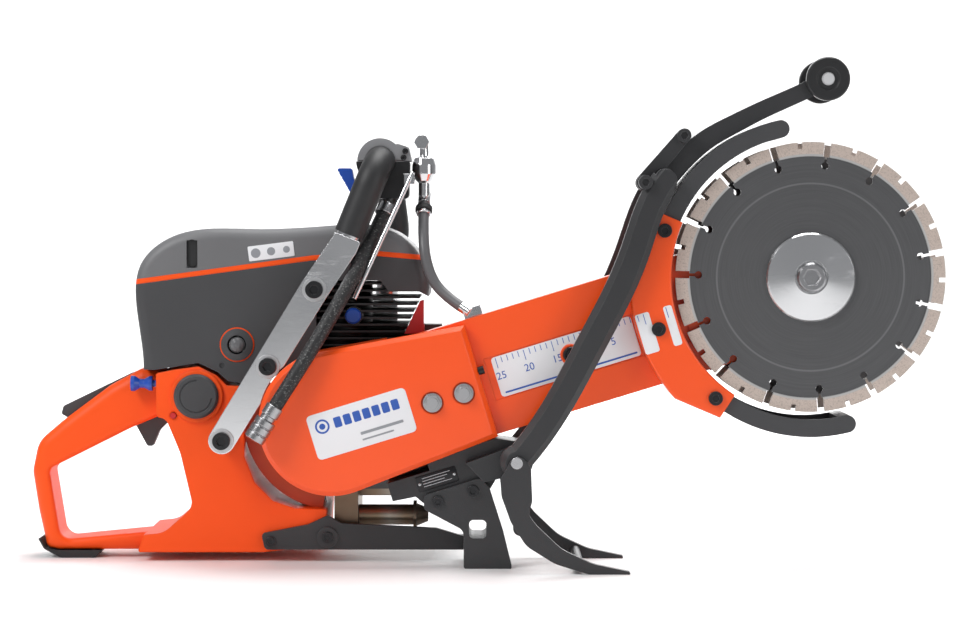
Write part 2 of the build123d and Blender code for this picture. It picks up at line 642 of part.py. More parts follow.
def exhaust_pipe():
    """Spark-arresting tail pipe with a clamp collar and a cone."""
    along = Plane(origin=(-106.7, EXHAUST_Y, EXHAUST_Z), z_dir=(1, 0, 0))
    profile = [(7.8, 0), (9, 0), (9, 48), (12.5, 48), (12.5, 51), (10, 51), (6, 61), (5, 61), (7.8, 50)]
    return turned_on(along, profile)


def heat_shield():
    y = FIN_Y[0] - 1.5
    side = Polygon((-52.5, 228), (-50, 229), (-49, 199), (-66.5, 199), align=None)
    body = slab(side, y - 1.2, y)
    return body + block((-50.6, -49.4), (y - 1.2, 2), (199, 228))


def carburettor():
    body = block((-222, -185), (-4, 36), (190, 228))
    body += Pos(-226, ENGINE_Y, 209) * Rot(0, 90, 0) * Cylinder(15, 10)
    return body - Pos(-205, ENGINE_Y, 209) * Rot(0, 90, 0) * Cylinder(8, 70)


def air_filter():
    body = block((-284, -232), (-34, 58), (198, 262))
    body = fillet(body.edges().filter_by(Axis.Z), 10)
    body -= block((-280, -236), (-30, 54), (202, 258))
    return body - Pos(-232, ENGINE_Y, 209) * Rot(0, 90, 0) * Cylinder(9, 12)


def flywheel():
    body = turned(DRIVE_X, DRIVE_Z, [(CRANK_R, 53), (44, 53), (46, 56), (46, 66), (12, 66), (12, 70),
                                     (CRANK_R, 70)])
    for k in range(12):
        turn = Pos(DRIVE_X, 0, DRIVE_Z) * Rot(0, 30 * k, 0) * Pos(-DRIVE_X, 0, -DRIVE_Z)
        body += turn * block((DRIVE_X + 24, DRIVE_X + 45), (66, 76), (DRIVE_Z - 1, DRIVE_Z + 1))
    return body


def clutch_hub():
    """Centrifugal clutch: three weights round a hub on the crankshaft."""
    y_low, y_high = CLUTCH[0] + 3.5, CLUTCH[1] - 1
    body = disc(DRIVE_X, DRIVE_Z, 13, y_low, y_high, CRANK_R)
    ring = Circle(CLUTCH_DRUM_R - 4) - Circle(15)
    for k in range(3):
        ring -= Rot(0, 0, 120 * k) * Pos(25, 0) * Rectangle(24, 3)
        ring += Rot(0, 0, 120 * k + 60) * Pos(13, 0) * Rectangle(8, 9)
    return body + slab(Pos(DRIVE_X, DRIVE_Z) * (ring - Circle(11)), y_low, y_high)


def clutch_drum():
    """Drum and belt pulley in one piece; it runs free on the crankshaft's end."""
    low, high = CLUTCH
    profile = [(CLUTCH_DRUM_R - 2.5, high), (CLUTCH_DRUM_R, high), (CLUTCH_DRUM_R, low),
               (CRANK_R + RUN_CLEARANCE, low),
               (CRANK_R + RUN_CLEARANCE, low + 2.5), (CLUTCH_DRUM_R - 2.5, low + 2.5)]
    body = turned(DRIVE_X, DRIVE_Z, profile)
    body += pulley(DRIVE_X, DRIVE_Z, DRIVE_PULLEY_R, CRANK_R + RUN_CLEARANCE)
    return body + disc(DRIVE_X, DRIVE_Z, 13, BAR_Y, low + 1, CRANK_R + RUN_CLEARANCE)


add("crankcase", crankcase())
add("crankshaft", crankshaft())
add("piston_and_rod", group(piston(), connecting_rod()))
add("cylinder_block", cylinder_block())
add("relief_button", relief_button())
add("muffler", group(muffler(), exhaust_pipe()))
add("heat_shield", heat_shield())
add("carburettor", carburettor())
add("air_filter", air_filter())
add("flywheel", flywheel())
add("clutch_hub", clutch_hub())
add("clutch_drum", clutch_drum())


def spark_plug():
    """The plug in the head and the rubber boot on it."""
    seat = BORE_TOP + HEAD_THICK + 0.1
    steel = [(0, BORE_TOP + 1), (4.9, BORE_TOP + 1), (4.9, seat), (10, seat), (10, seat + 5), (5.5, seat + 5),
             (5.5, seat + 14), (0, seat + 14)]
    plug = Pos(DRIVE_X, ENGINE_Y, 0) * turned_on(Plane.XY, steel)
    boot = Pos(0, 0, seat + 15) * Cylinder(10, 18) + Pos(-12, 0, seat + 19) * Box(30, 12, 10)
    boot -= Pos(0, 0, seat + 9) * Cylinder(5.6, 10.4)
    return group(plug, Pos(DRIVE_X, ENGINE_Y, 0) * boot)


add("spark_plug", spark_plug())


# ------------------------------------------------------------------ starter
STARTER_FACE = 112
CORD_Y = 92
CORD_R = 1.75
CORD_WRAP_R = 26
PULL_ANGLE = 125                # direction of the pull, from X towards Z
PULL_X, PULL_Z = math.cos(math.radians(PULL_ANGLE)), math.sin(math.radians(PULL_ANGLE))
CORD_X0, CORD_Z0 = DRIVE_X - CORD_WRAP_R * PULL_Z, DRIVE_Z + CORD_WRAP_R * PULL_X
HOUSING_R = 60


def pull_point(t):
    return CORD_X0 + t * PULL_X, CORD_Z0 + t * PULL_Z


def pull_plane(t):
    x, z = pull_point(t)
    return Plane(origin=(x, CORD_Y, z), x_dir=(0, 1, 0), z_dir=(PULL_X, 0, PULL_Z))


def starter_housing():
    """Cast fan housing with cooling slots, a post for the cord pulley and a cord guide."""
    body = turned(DRIVE_X, DRIVE_Z, [(0, STARTER_FACE), (38, STARTER_FACE), (54, STARTER_FACE - 9),
                                     (HOUSING_R, STARTER_FACE - 24),
                                     (HOUSING_R, 50.3), (HOUSING_R - 3, 50.3), (HOUSING_R - 3,
                                                                                STARTER_FACE - 25),
                                     (52, STARTER_FACE - 11), (37, STARTER_FACE - 3), (0, STARTER_FACE - 3)])
    body += disc(DRIVE_X, DRIVE_Z, 7, CORD_Y - 8, STARTER_FACE - 2)
    for k in range(14):
        slot = Pos(31, 0) * SlotOverall(22, 4.5)
        body -= slab(Pos(DRIVE_X, DRIVE_Z) * Rot(0, 0, 360 / 14 * k) * slot, STARTER_FACE - 14,
                     STARTER_FACE + 1)
    for x, z in ((-178, 78), (-76, 78), (-76, 172)):
        body += slab(make_hull((Pos(x, z) * Circle(7)).edges()
                               + (Pos(0.85 * x + 0.15 * DRIVE_X,
                                      0.85 * z + 0.15 * DRIVE_Z) * Circle(12)).edges())
                     - Pos(DRIVE_X, DRIVE_Z) * Circle(HOUSING_R - 1), 50.3, 62)
    body += pull_plane(52) * Cylinder(7, 14)
    return body - pull_plane(50) * Cylinder(CORD_R + 0.25, 30)


def starter_handle():
    """T-shaped grip on its cord; the length that lies inside the housing is modelled straight."""
    grip = pull_plane(66) * fillet(Box(38, 15, 13).edges(), 4.5)
    grip += pull_plane(60.6) * Cylinder(5, 2.4)
    return grip + pull_plane(9) * Cylinder(CORD_R, 104)


def cord_pulley():
    r = CORD_WRAP_R - CORD_R - 0.5
    bore = 7 + RUN_CLEARANCE
    return turned(DRIVE_X, DRIVE_Z, [(bore, CORD_Y - 7), (r, CORD_Y - 7), (r, CORD_Y - 4),
                                     (r - 4, CORD_Y - 2),
                                     (r - 4, CORD_Y + 2), (r, CORD_Y + 4), (r, CORD_Y + 7), (bore,
                                                                                             CORD_Y + 7)])


add("starter_housing", starter_housing())
add("starter_handle", starter_handle())
add("cord_pulley", cord_pulley())


# ------------------------------------------------------------------ covers
COVER_TOP = [(-295, 168), (-300, 215), (-296, 262), (-270, 284), (-200, 291), (-130, 294), (-75, 289),
             (-52, 268), (-45, 232)]
COVER_FOOT = [(-45, 232), (-54, 237), (-80, 237), (-87, 246), (-143, 246), (-143, 168), (-179, 168),
              (-186, 156), (-207, 156), (-220, 158),
              (-229, 166), (-246, 174), (-284, 168), (-295, 168)]
TRIM_LINE = [(-305, 242), (-146, 263.5), (-92, 267.5), (-40, 263)]
TRIM_HEIGHT = 4.5
PURGE_AT = (-212, 190)


def rounded_slab(sketch, y_low, y_high, radius):
    """A slab whose one long curved side is rounded over at both faces."""
    body = slab(sketch, y_low, y_high)
    longest = max(edge.length for edge in body.edges())
    return fillet([edge for edge in body.edges() if edge.length > longest - 1], radius)


def covers():
    """Both engine covers and the trim between them, cut from one rounded shell that is open below."""
    top = Spline(*COVER_TOP)
    outside = make_face([top] + list(FilletPolyline(*COVER_FOOT, radius=2.5).edges()))
    inner = []
    for k in range(17):
        along = top % (k / 16)
        inner.append(top @ (k / 16) + SHELL_WALL * Vector(along.Y, -along.X))
    first, last = inner[0], inner[-1]
    inside = make_face([Spline(*inner), Polyline(last, (last.X, 120), (first.X, 120), first)])
    body = rounded_slab(outside, SHELL_NEAR_Y, SHELL_FAR_Y, 10)
    body -= slab(inside, SHELL_NEAR_Y + SHELL_WALL, SHELL_FAR_Y - SHELL_WALL)
    body -= disc(DRIVE_X, DRIVE_Z, HOUSING_R + 1, ENGINE_Y, SHELL_FAR_Y + 1)
    y = (SHELL_NEAR_Y - 5, SHELL_FAR_Y + 5)
    raised = [(x, z + TRIM_HEIGHT) for x, z in TRIM_LINE]
    below_trim = slab(Polygon(*TRIM_LINE, (-40, 100), (-305, 100), align=None), *y)
    above_trim = slab(Polygon(*raised, (-40, 320), (-305, 320), align=None), *y)
    below_top = slab(Polygon(*raised, (-40, 100), (-305, 100), align=None), *y)
    above_side = slab(Polygon(*TRIM_LINE, (-40, 320), (-305, 320), align=None), *y)
    return body - below_top, body - below_trim - above_trim, body - above_side


top_cover, cover_trim, side_cover = covers()
slot = Pos(-251, 269) * (Rectangle(9.5, 24) + Pos(0, 8) * Circle(4.75))
top_cover -= slab(slot, SHELL_NEAR_Y - 1, SHELL_NEAR_Y + SHELL_WALL + 1)
top_cover += slab(offset(slot, 1.4), SHELL_NEAR_Y + SHELL_WALL - 0.5, SHELL_NEAR_Y + SHELL_WALL + 1.5)
side_cover -= disc(*PURGE_AT, 12.2, SHELL_NEAR_Y - 1, SHELL_NEAR_Y + 4)
side_cover -= disc(-225, 172, 2.4, SHELL_NEAR_Y - 1, SHELL_NEAR_Y + 1.5)
add("top_cover", top_cover)
add("cover_trim", cover_trim)
add("side_cover", side_cover)
purge_profile = [(8.2, -48), (14, -46.5), (14, -45.1), (12, -45.1), (12, -33), (0, -33), (0, -36), (8.2, -36)]
add("purge_ring", turned(*PURGE_AT, purge_profile))
dome_profile = [(0, -51), (3, -50.4), (5.6, -48.6), (7.1, -46), (7.5, -43), (7.5, -41), (0, -41)]
add("purge_bulb", turned(*PURGE_AT, dome_profile))


# ------------------------------------------------------------------ tank with rear handle
TANK_SIDE = [(-283, 165), (-268, 168), (-246, 171), (-230, 163), (-221, 154), (-206, 154), (-206, 92),
             (-197, 69),
             (-181, 53), (-162, 46.5), (-134, 46), (-136, 14), (-190, 8), (-300, 8), (-285, 50), (-262,
                                                                                                  60), (-262,
                                                                                                        90),
             (-283, 130)]
HANDLE_SIDE = [(-276, 166), (-299, 168), (-327, 153), (-370, 121), (-391, 103), (REAR_X, 77), (-391, 42),
               (-384, 9),
               (-374, 7), (-230, 7), (-215, 60), (-230, 150)]
HANDLE_CORNERS = [2, 8, 40, 20, 24, 20, 40, 6, 4, 8, 30, 10]
HAND_HOLE = [(-381, 79), (-307, 116), (-276, 129), (-262, 95), (-251, 48), (-277, 25), (-371, 16)]
HAND_HOLE_CORNERS = [7, 30, 9, 40, 12, 20, 11]


def in_hole_rim(point):
    """Whether a point lies on the edge of the hand hole."""
    inside = outline(HAND_HOLE, HAND_HOLE_CORNERS)
    spot = Vertex(point.X, point.Z, 0)
    return any(edge.distance_to(spot) < 0.05 for edge in inside.edges())


def fuel_tank_handle():
    """Hollow fuel tank and rear handle loop, moulded in one piece, with pockets for trigger and lockout."""
    tank = slab(outline(TANK_SIDE, 2), TANK_NEAR_Y, TANK_FAR_Y)
    half = HANDLE_WIDTH / 2
    loop = slab(outline(HANDLE_SIDE, HANDLE_CORNERS), HANDLE_Y - half, HANDLE_Y + half)
    hole = slab(outline(HAND_HOLE, HAND_HOLE_CORNERS), TANK_NEAR_Y - 1, TANK_FAR_Y + 1)
    rim = [edge for edge in loop.edges() if abs(edge.tangent_at(0.5).Y) < 0.5 and edge.center().X < -277]
    loop = fillet(rim, 10) - hole
    faces = (HANDLE_Y - half, HANDLE_Y + half)
    rim = [edge for edge in loop.edges() if edge.center().X > -383 and min(abs(edge.center().Y
                                                                               - y) for y in faces) < 0.01
           and in_hole_rim(edge.center())]
    loop = fillet(rim, 4)
    boss = disc(CAP_X, CAP_Z, CAP_R + 3.5, TANK_NEAR_Y - 2.5, TANK_NEAR_Y + 16)
    body = tank + loop + boss - hole
    room = [(-258, 160), (-235, 155), (-212, 148), (-212, 90), (-202, 66), (-185, 49), (-165, 42), (-139, 41),
            (-141, 18), (-190, 12), (-262, 12), (-244, 40), (-250, 80), (-262, 120)]
    body -= slab(outline(room, 2), TANK_NEAR_Y + TANK_WALL, TANK_FAR_Y - TANK_WALL)
    body += disc(CAP_X, CAP_Z, 17, TANK_NEAR_Y, TANK_NEAR_Y + 16) & slab(outline(TANK_SIDE, 2), TANK_NEAR_Y,
                                                                         TANK_FAR_Y)
    body -= disc(CAP_X, CAP_Z, 13.3, TANK_NEAR_Y - 3, TANK_NEAR_Y + 17)
    body -= slab(offset(trigger_shape(), 1.2) + Polygon((-314, 117), (-271, 117), (-271, 139), (-310, 139), align=None),
                 HANDLE_Y - 5.6, HANDLE_Y + 5.6)
    body -= slab(Polygon((-377, 108), (-300, 153), (-297, 180), (-380, 150), align=None), HANDLE_Y - 8,
                 HANDLE_Y + 8)
    body -= disc(*STOP_AT, 3, TANK_NEAR_Y - 1, TANK_NEAR_Y + 6)
    body -= Pos(-283, CHOKE_Y, CHOKE_Z) * Rot(0, 90, 0) * Cylinder(3 + RUN_CLEARANCE, 34)
    body += disc(*TRIGGER_PIN, 2.5, HANDLE_Y - 7, HANDLE_Y + 7)
    body += disc(*LOCKOUT_PIN, 2, HANDLE_Y - 9, HANDLE_Y + 9)
    return body


TRIGGER_PIN = (-283, 127)
LOCKOUT_PIN = (-305, 155)
STOP_AT = (-268, 128)
CHOKE_Y, CHOKE_Z = -35, 155.5


def trigger_shape():
    shape = outline([(-309, 122), (-296, 98), (-291, 98), (-285, 112), (-274, 123), (-276, 133), (-290, 134)],
                    [4, 2.5, 2, 8, 2, 4, 4])
    return shape


def throttle_trigger():
    body = slab(trigger_shape(), HANDLE_Y - 5, HANDLE_Y + 5)
    return body - disc(*TRIGGER_PIN, 2.5 + RUN_CLEARANCE, HANDLE_Y - 6, HANDLE_Y + 6)


def throttle_lockout():
    """Palm lever along the top of the handle; it tips about its front end."""
    side = outline([(-372, 127), (-370, 134), (-308, 164), (-300, 161), (-302, 154), (-364, 122)],
                   [2, 3, 4, 3, 2, 2])
    body = slab(side, HANDLE_Y - 7.5, HANDLE_Y + 7.5)
    return body - disc(*LOCKOUT_PIN, 2 + RUN_CLEARANCE, HANDLE_Y - 9, HANDLE_Y + 9)


def fuel_cap():
    face = TANK_NEAR_Y - 2.8
    body = turned(CAP_X, CAP_Z, [(0, face - 3.2), (CAP_R - 2, face - 3.2), (CAP_R, face - 1.5), (CAP_R, face),
                                 (13, face), (13, face + 14), (10, face + 14), (10, face + 2), (0, face + 2)])
    groove = Circle(14.4) - Circle(13.2) - Rot(0, 0, -50) * Pos(0, 20) * Rectangle(20, 40)
    return body - slab(Pos(CAP_X, CAP_Z) * groove, face - 4, face - 2.4)


def rear_pad():
    side = outline([(-391, 17), (-386, 8), (-371, 0), (-341, 0), (-335, 6.7), (-374, 6.7), (-385, 8.8),
                    (-389, 18)],
                   [0.5, 4, 4, 4, 0.5, 3, 3, 0.5])
    return slab(side, HANDLE_Y - 20, HANDLE_Y + 20)


def choke_knob():
    """Waisted knob that pulls out rearwards."""
    along = Plane(origin=(-287, CHOKE_Y, CHOKE_Z), z_dir=(-1, 0, 0))
    waist = [(0, -19), (3, -19), (3, 0.2), (6.5, 0.2), (6.5, 3), (4, 7.5), (4, 11.5), (6.8, 16), (6.8, 19),
             (0, 19)]
    return turned_on(along, waist)


def stop_button():
    return disc(*STOP_AT, 2.7, TANK_NEAR_Y - 1.8, TANK_NEAR_Y + 2.5)


add("fuel_tank_handle", fuel_tank_handle())
add("throttle_trigger", throttle_trigger())
add("throttle_lockout", throttle_lockout())
add("fuel_cap", fuel_cap())
add("rear_pad", rear_pad())
add("choke_knob", choke_knob())
add("stop_button", stop_button())


# ------------------------------------------------------------------ stands and lower frame
STAND_NEAR, STAND_FAR = -90, -32


def front_skid():
    """Two side plates joined by cross bars; the fork's pivot pin runs through both."""
    side = [(PIVOT_X, PIVOT_Z + 11), (17, 80), (18, 66), (26, 44), (39, 24), (63, 9), (92, 0), (127, 0),
            (126, 2.5),
            (95, 9), (69, 21), (48, 41), (41, 50), (44, 62), (43, 90)]
    shape = outline(side, [8, 8, 12, 30, 20, 40, 20, 1, 1, 40, 40, 12, 8, 8, 8])
    shape -= Pos(PIVOT_X, PIVOT_Z) * Circle(PIVOT_R + RUN_CLEARANCE)
    body = Part()
    for low, high in ((-SKID_OUT, -SKID_IN), (SKID_IN, SKID_OUT)):
        body += slab(shape, BAR_Y + low, BAR_Y + high)
    for x, z, r in ((34, 38, 6), (29, 55, 5), (84, 7.5, 4)):
        body += disc(x, z, r, BAR_Y - SKID_IN - 1, BAR_Y + SKID_IN + 1)
    return body


def mid_stand():
    """Foot under the casting, with a lightening hole."""
    plate = outline([(-48, 63), (0, 78), (8, 70), (20, 32), (27, 3), (27, 0), (-14, 0), (-14, 33), (-48, 51)],
                    [4, 5, 5, 10, 2, 1, 2, 8, 4])
    body = slab(plate, STAND_NEAR, BAR_NEAR)
    foot = outline([(-14, 0), (-14, 33), (-6, 52), (8, 52), (16, 32), (23, 0)], [2, 6, 4, 6, 6, 1])
    body += slab(foot, BAR_NEAR, STAND_FAR)
    body -= slab(Pos(-2, 34) * RectangleRounded(15, 16, 4), STAND_NEAR - 1, STAND_FAR + 1)
    for x, z in STAND_SCREWS:
        body -= disc(x, z, 3.1, STAND_NEAR - 1, BAR_NEAR + 1)
    return body


def lower_bracket():
    """Pressed side bracket from the tank forward to the stand."""
    side = outline([(-191, 25), (-188, 11), (-14.4, 11), (-14.4, 23), (-38, 30), (-121, 34), (-133, 41),
                    (-150, 33)],
                   [3, 4, 2, 2, 8, 8, 5, 8])
    body = slab(side, TANK_NEAR_Y - 5, TANK_NEAR_Y - 0.3) + disc(-133, 22, 9, TANK_NEAR_Y - 8,
                                                                 TANK_NEAR_Y - 0.3)
    body += block((-20, -14.4), (TANK_NEAR_Y - 5, -34), (11, 23))
    return body - disc(-183, 18, 2.6, -60, -40) - disc(-133, 22, 2.6, -60, -40)


def vibration_mounts():
    """Rubber buffers between the engine and the tank."""
    rear = Pos(-193, 5, 120) * Rot(0, 90, 0) * Cylinder(11, 25.4)
    low = Pos(-150, 20, 59.1) * Cylinder(11, 25.2)
    return rear + low


add("front_skid", front_skid())
add("mid_stand", mid_stand())
add("lower_bracket", lower_bracket())


# ------------------------------------------------------------------ swinging guard fork
FORK_LINE = [(PIVOT_X, PIVOT_Z), (66, 142), (92, 190), (114, 232), (131, 272), (145, 312), (156, 331)]
TIP_LINE = [(158, 334), (174, 351), (193, 367), (217, 380.5), (240, 392), (267, 404), (ROLLER_X, ROLLER_Z)]
FORK_WIDTHS = [24, 24.5, 25, 25, 25, 24.5, 24]
TIP_WIDTHS = [20, 18, 17, 16, 15, 14.5, 14]


def band(points, widths):
    """A smooth strip that follows the points, with its own width at each."""
    centre = Spline(*points)
    left, right = [], []
    for (x, z), width in zip(points, widths):
        along = centre.tangent_at(Vector(x, z))
        side = Vector(-along.Y, along.X) * (width / 2)
        left.append(Vector(x, z) + side)
        right.append(Vector(x, z) - side)
    ends = [Line(left[-1], right[-1]), Line(right[0], left[0])]
    return make_face([Spline(*left), ends[0], Spline(*reversed(right)), ends[1]])


def guard_fork():
    """Two side plates, bevelled outside, joined by a web above the blades' guard."""
    shape = band(FORK_LINE, FORK_WIDTHS) + Pos(PIVOT_X, PIVOT_Z) * Circle(14)
    shape += Pos(*FORK_LINE[-1]) * Circle(10)
    body = Part()
    for low, high, side in ((-FORK_OUT, -FORK_IN, -1), (FORK_IN, FORK_OUT, 1)):
        plate = slab(shape, BAR_Y + low, BAR_Y + high)
        face = BAR_Y + side * FORK_OUT
        rim = plate.edges().filter_by_position(Axis.Y, face - 0.01, face + 0.01)
        plate = chamfer([edge for edge in rim if edge.length > 40], 5)
        relief = band(FORK_LINE[1:-1], [width - 9 for width in FORK_WIDTHS[1:-1]])
        inner = sorted((BAR_Y + side * FORK_IN, BAR_Y + side * (FORK_OUT - 4)))
        body += plate - slab(relief, *inner)
    body += slab(Pos(*KNUCKLE) * Circle(8), BAR_Y - FORK_OUT + 1, BAR_Y + FORK_OUT - 1)
    body -= disc(PIVOT_X, PIVOT_Z, PIVOT_R + RUN_CLEARANCE, BAR_Y - FORK_OUT - 1, BAR_Y + FORK_OUT + 1)
    body -= slab(Pos(*KNUCKLE) * Circle(9.5), BAR_Y - TIP_ARM_WIDTH_Y / 2 - 0.3,
                 BAR_Y + TIP_ARM_WIDTH_Y / 2 + 0.3)
    body += disc(*KNUCKLE, 5, BAR_Y - FORK_IN, BAR_Y + FORK_IN)
    for x, z in STRAP_SCREWS[:1]:
        body -= disc(x, z, 3.2, BAR_Y - FORK_OUT - 1, BAR_Y - FORK_IN + 1)
    return body


KNUCKLE = (156, 334)
STRAP_SCREWS = ((139, 330), (173, 370))


def tip_arm():
    """Tapered channel that carries the roller; its foot clamps round the fork's cross bar."""
    half = TIP_ARM_WIDTH_Y / 2
    shape = band(TIP_LINE, TIP_WIDTHS) + Pos(*KNUCKLE) * Circle(9.2) + Pos(ROLLER_X, ROLLER_Z) * Circle(8)
    body = slab(shape, BAR_Y - half, BAR_Y + half)
    room = band(TIP_LINE[1:], [width - 6 for width in TIP_WIDTHS[1:]])
    body -= slab(room, BAR_Y - half + 4, BAR_Y + half - 4)
    body -= disc(*KNUCKLE, 5.05, BAR_Y - half - 1, BAR_Y + half + 1)
    return body - disc(ROLLER_X, ROLLER_Z, PIVOT_R + 0.05, BAR_Y - half - 1, BAR_Y + half + 1)


def fork_strap():
    """Outer strap that ties the tip arm's back to the fork."""
    y = BAR_Y - TIP_ARM_WIDTH_Y / 2
    (x1, z1), (x2, z2) = STRAP_SCREWS
    strap = make_hull((Pos(x1, z1) * Circle(7)).edges() + (Pos(x2, z2) * Circle(6)).edges())
    body = slab(strap - Pos(*KNUCKLE) * Circle(8.4), y - 5, y - 0.3)
    body += disc(x1, z1, 6.5, BAR_Y - FORK_IN + 0.3, y - 0.3)
    body += disc(x2, z2, 5, y - 0.3, BAR_Y + 19)
    for x, z in STRAP_SCREWS:
        body -= disc(x, z, 3, BAR_Y - FORK_OUT - 6, BAR_Y + FORK_OUT)
    return body


def strap_screws():
    (x1, z1), (x2, z2) = STRAP_SCREWS
    y = BAR_Y - TIP_ARM_WIDTH_Y / 2
    return cap_screw(x1, z1, BAR_Y - FORK_OUT - 0.05, 6, 5, 2.95, 22) + cap_screw(x2, z2, y - 5.05, 6, 5,
                                                                                  2.95, 20)


def guard_rollers():
    """A pair of rollers pressed on one axle."""
    half = TIP_ARM_WIDTH_Y / 2
    body = disc(ROLLER_X, ROLLER_Z, PIVOT_R, BAR_Y - half - 7.4, BAR_Y + half + 7.4)
    for side in (-1, 1):
        inner, outer = half + 0.4, half + 0.4 + ROLLER_THICK
        profile = [(PIVOT_R, inner), (ROLLER_R - 1, inner), (ROLLER_R, inner + 1), (ROLLER_R, outer - 1),
                   (ROLLER_R - 1, outer), (10, outer), (8.5, outer - 1.5), (PIVOT_R, outer - 1.5)]
        body += turned(ROLLER_X, ROLLER_Z, [(r, BAR_Y + side * h) for r, h in profile])
    return body


def pivot_pin():
    """Shouldered pin with a flanged head at each end."""
    body = disc(PIVOT_X, PIVOT_Z, PIVOT_R, BAR_Y - SKID_OUT, BAR_Y + SKID_OUT + 6)
    head = disc(PIVOT_X, PIVOT_Z, 8, BAR_Y + SKID_OUT + 0.1, BAR_Y + SKID_OUT + 5)
    return body + head


add("guard_fork", guard_fork())
add("tip_arm", group(tip_arm(), fork_strap(), strap_screws()))
add("guard_rollers", guard_rollers())
add("pivot_pin", pivot_pin())


# ------------------------------------------------------------------ front handle
TUBE_ROUTE = [(-121, TUBE_NEAR_Y, 266), (-87, TUBE_NEAR_Y, 350), (-87, TUBE_FAR_Y, 350),
              (-79, TUBE_FAR_Y, 290),
              (-92, TUBE_FAR_Y, 200)]
TUBE_BENDS = [24, 30, 60]
BRACKET_BOLTS = ((-222, 109), (-182, 173), (-142, 239))
BRACKET_FACE = -80
BRACKET_THICK = 6


def sleeve_route():
    """The grip starts just above the bracket and ends part way down the far leg."""
    start = Vector(*TUBE_ROUTE[0]) + (Vector(*TUBE_ROUTE[1]) - Vector(*TUBE_ROUTE[0])) * 0.24
    end = Vector(*TUBE_ROUTE[3]) + (Vector(*TUBE_ROUTE[4]) - Vector(*TUBE_ROUTE[3])) * 0.35
    return [start] + TUBE_ROUTE[1:4] + [end]


def handle_tube():
    return pipe(TUBE_ROUTE, TUBE_BENDS, TUBE_R, TUBE_R - 2)


def handle_grip():
    return pipe(sleeve_route(), TUBE_BENDS, GRIP_R, TUBE_R + 0.05)


def handle_bracket():
    """Flat cast bar on the near side; its head is a socket for the tube."""
    (x1, z1), (x2, z2), (x3, z3) = BRACKET_BOLTS
    bar = make_hull((Pos(x1, z1) * Circle(11.5)).edges() + (Pos(x3, z3) * Circle(12.5)).edges())
    neck = make_hull((Pos(x3, z3) * Circle(12.5)).edges() + (Pos(-115, 279) * Rot(0, 0, -22) * Rectangle(23,
                                                                                                         10)).edges())
    body = slab(bar + neck, BRACKET_FACE, BRACKET_FACE + BRACKET_THICK)
    start, up = Vector(*TUBE_ROUTE[0]), Vector(*TUBE_ROUTE[1]) - Vector(*TUBE_ROUTE[0])
    socket = Plane(origin=start, z_dir=up)
    body += socket * Pos(0, 0, 9) * Cylinder(GRIP_R - 0.5, 20)
    body -= socket * Pos(0, 0, 45) * Cylinder(TUBE_R + 0.05, 90)
    body -= disc(DRIVE_X, DRIVE_Z, COVER_R + 1.5, BRACKET_FACE - 1, -60)
    for x, z in BRACKET_BOLTS:
        body += disc(x, z, 10, BRACKET_FACE + BRACKET_THICK, BRACKET_FACE + BRACKET_THICK + 4)
        body -= disc(x, z, 4.1, BRACKET_FACE - 1, -60)
    return body


def bracket_posts():
    """Threaded posts that stand the bracket off the tank and the engine."""
    y = BRACKET_FACE + BRACKET_THICK + 4.1
    ends = (TANK_NEAR_Y - 0.1, SHELL_NEAR_Y - 0.1, SHELL_NEAR_Y - 0.1)
    body = Part()
    for (x, z), end in zip(BRACKET_BOLTS, ends):
        body += disc(x, z, 9, y, end, 4.1)
    return body


def bracket_screws():
    body = Part()
    for x, z in BRACKET_BOLTS:
        body += disc(x, z, 10.5, BRACKET_FACE - 1.6, BRACKET_FACE - 0.05, 4)
        body += cap_screw(x, z, BRACKET_FACE - 1.6, 7.5, 4.5, 4, 15)
    return body


def far_bracket():
    """Lug on the engine's far side for the tube's other end."""
    x, _, z = TUBE_ROUTE[-1]
    body = block((x - 16, x + 16), (SHELL_FAR_Y + 0.3, TUBE_FAR_Y - TUBE_R + 1), (z - 6, z + 28))
    body = fillet(body.edges().filter_by(Axis.Y), 8)
    down = Vector(*TUBE_ROUTE[4]) - Vector(*TUBE_ROUTE[3])
    foot = Plane(origin=TUBE_ROUTE[4], z_dir=down)
    body += foot * Pos(0, 0, -12) * Cylinder(GRIP_R, 34)
    return body - foot * Pos(0, 0, -40) * Cylinder(TUBE_R + 0.05, 80)


add("handle_tube", handle_tube())
add("handle_grip", handle_grip())
add("handle_brackets", group(handle_bracket(), far_bracket()))


# ------------------------------------------------------------------ water feed
VALVE_X, VALVE_Z = -87, 350         # where it clamps round the handle's top
VALVE_Y = (-42, -16)
SPOOL_Y, SPOOL_Z = -29, 327


def valve_body():
    """Clamped under the handle; a spool runs through it from the lever to the outlet."""
    near, far = VALVE_Y
    shape = Pos(VALVE_X, VALVE_Z) * Circle(21) + outline([(-108, 318), (-62, 317), (-61, 348), (-66, 362),
                                                          (-104, 344)], 4)
    shape -= Pos(VALVE_X, VALVE_Z) * Circle(GRIP_R + 0.1)
    shape -= Polygon((-115, 349), (-87, 352), (-56, 349), (-56, 380), (-115, 380), align=None)
    body = slab(shape, near, far)
    body -= Pos(-100, SPOOL_Y, SPOOL_Z) * Rot(0, 90, 0) * Cylinder(4 + RUN_CLEARANCE, 30)
    inlet = Plane(origin=INLET_ROUTE[0], z_dir=Vector(*INLET_ROUTE[1]) - Vector(*INLET_ROUTE[0]))
    return body + inlet * Pos(0, 0, -8) * Cylinder(6.2, 16)


INLET_ROUTE = [(-80, -38, 313), (-96, -47 - GRIP_R, 276), (-118, -91, 232), (-144, -109, 186), (-173, -112, 141)]
OUTLET_ROUTE = [(-49, SPOOL_Y, 313), (-50, -52, 283), (-45, -58, 254), (-33, -63, 235), (-16, BAR_Y, 224)]


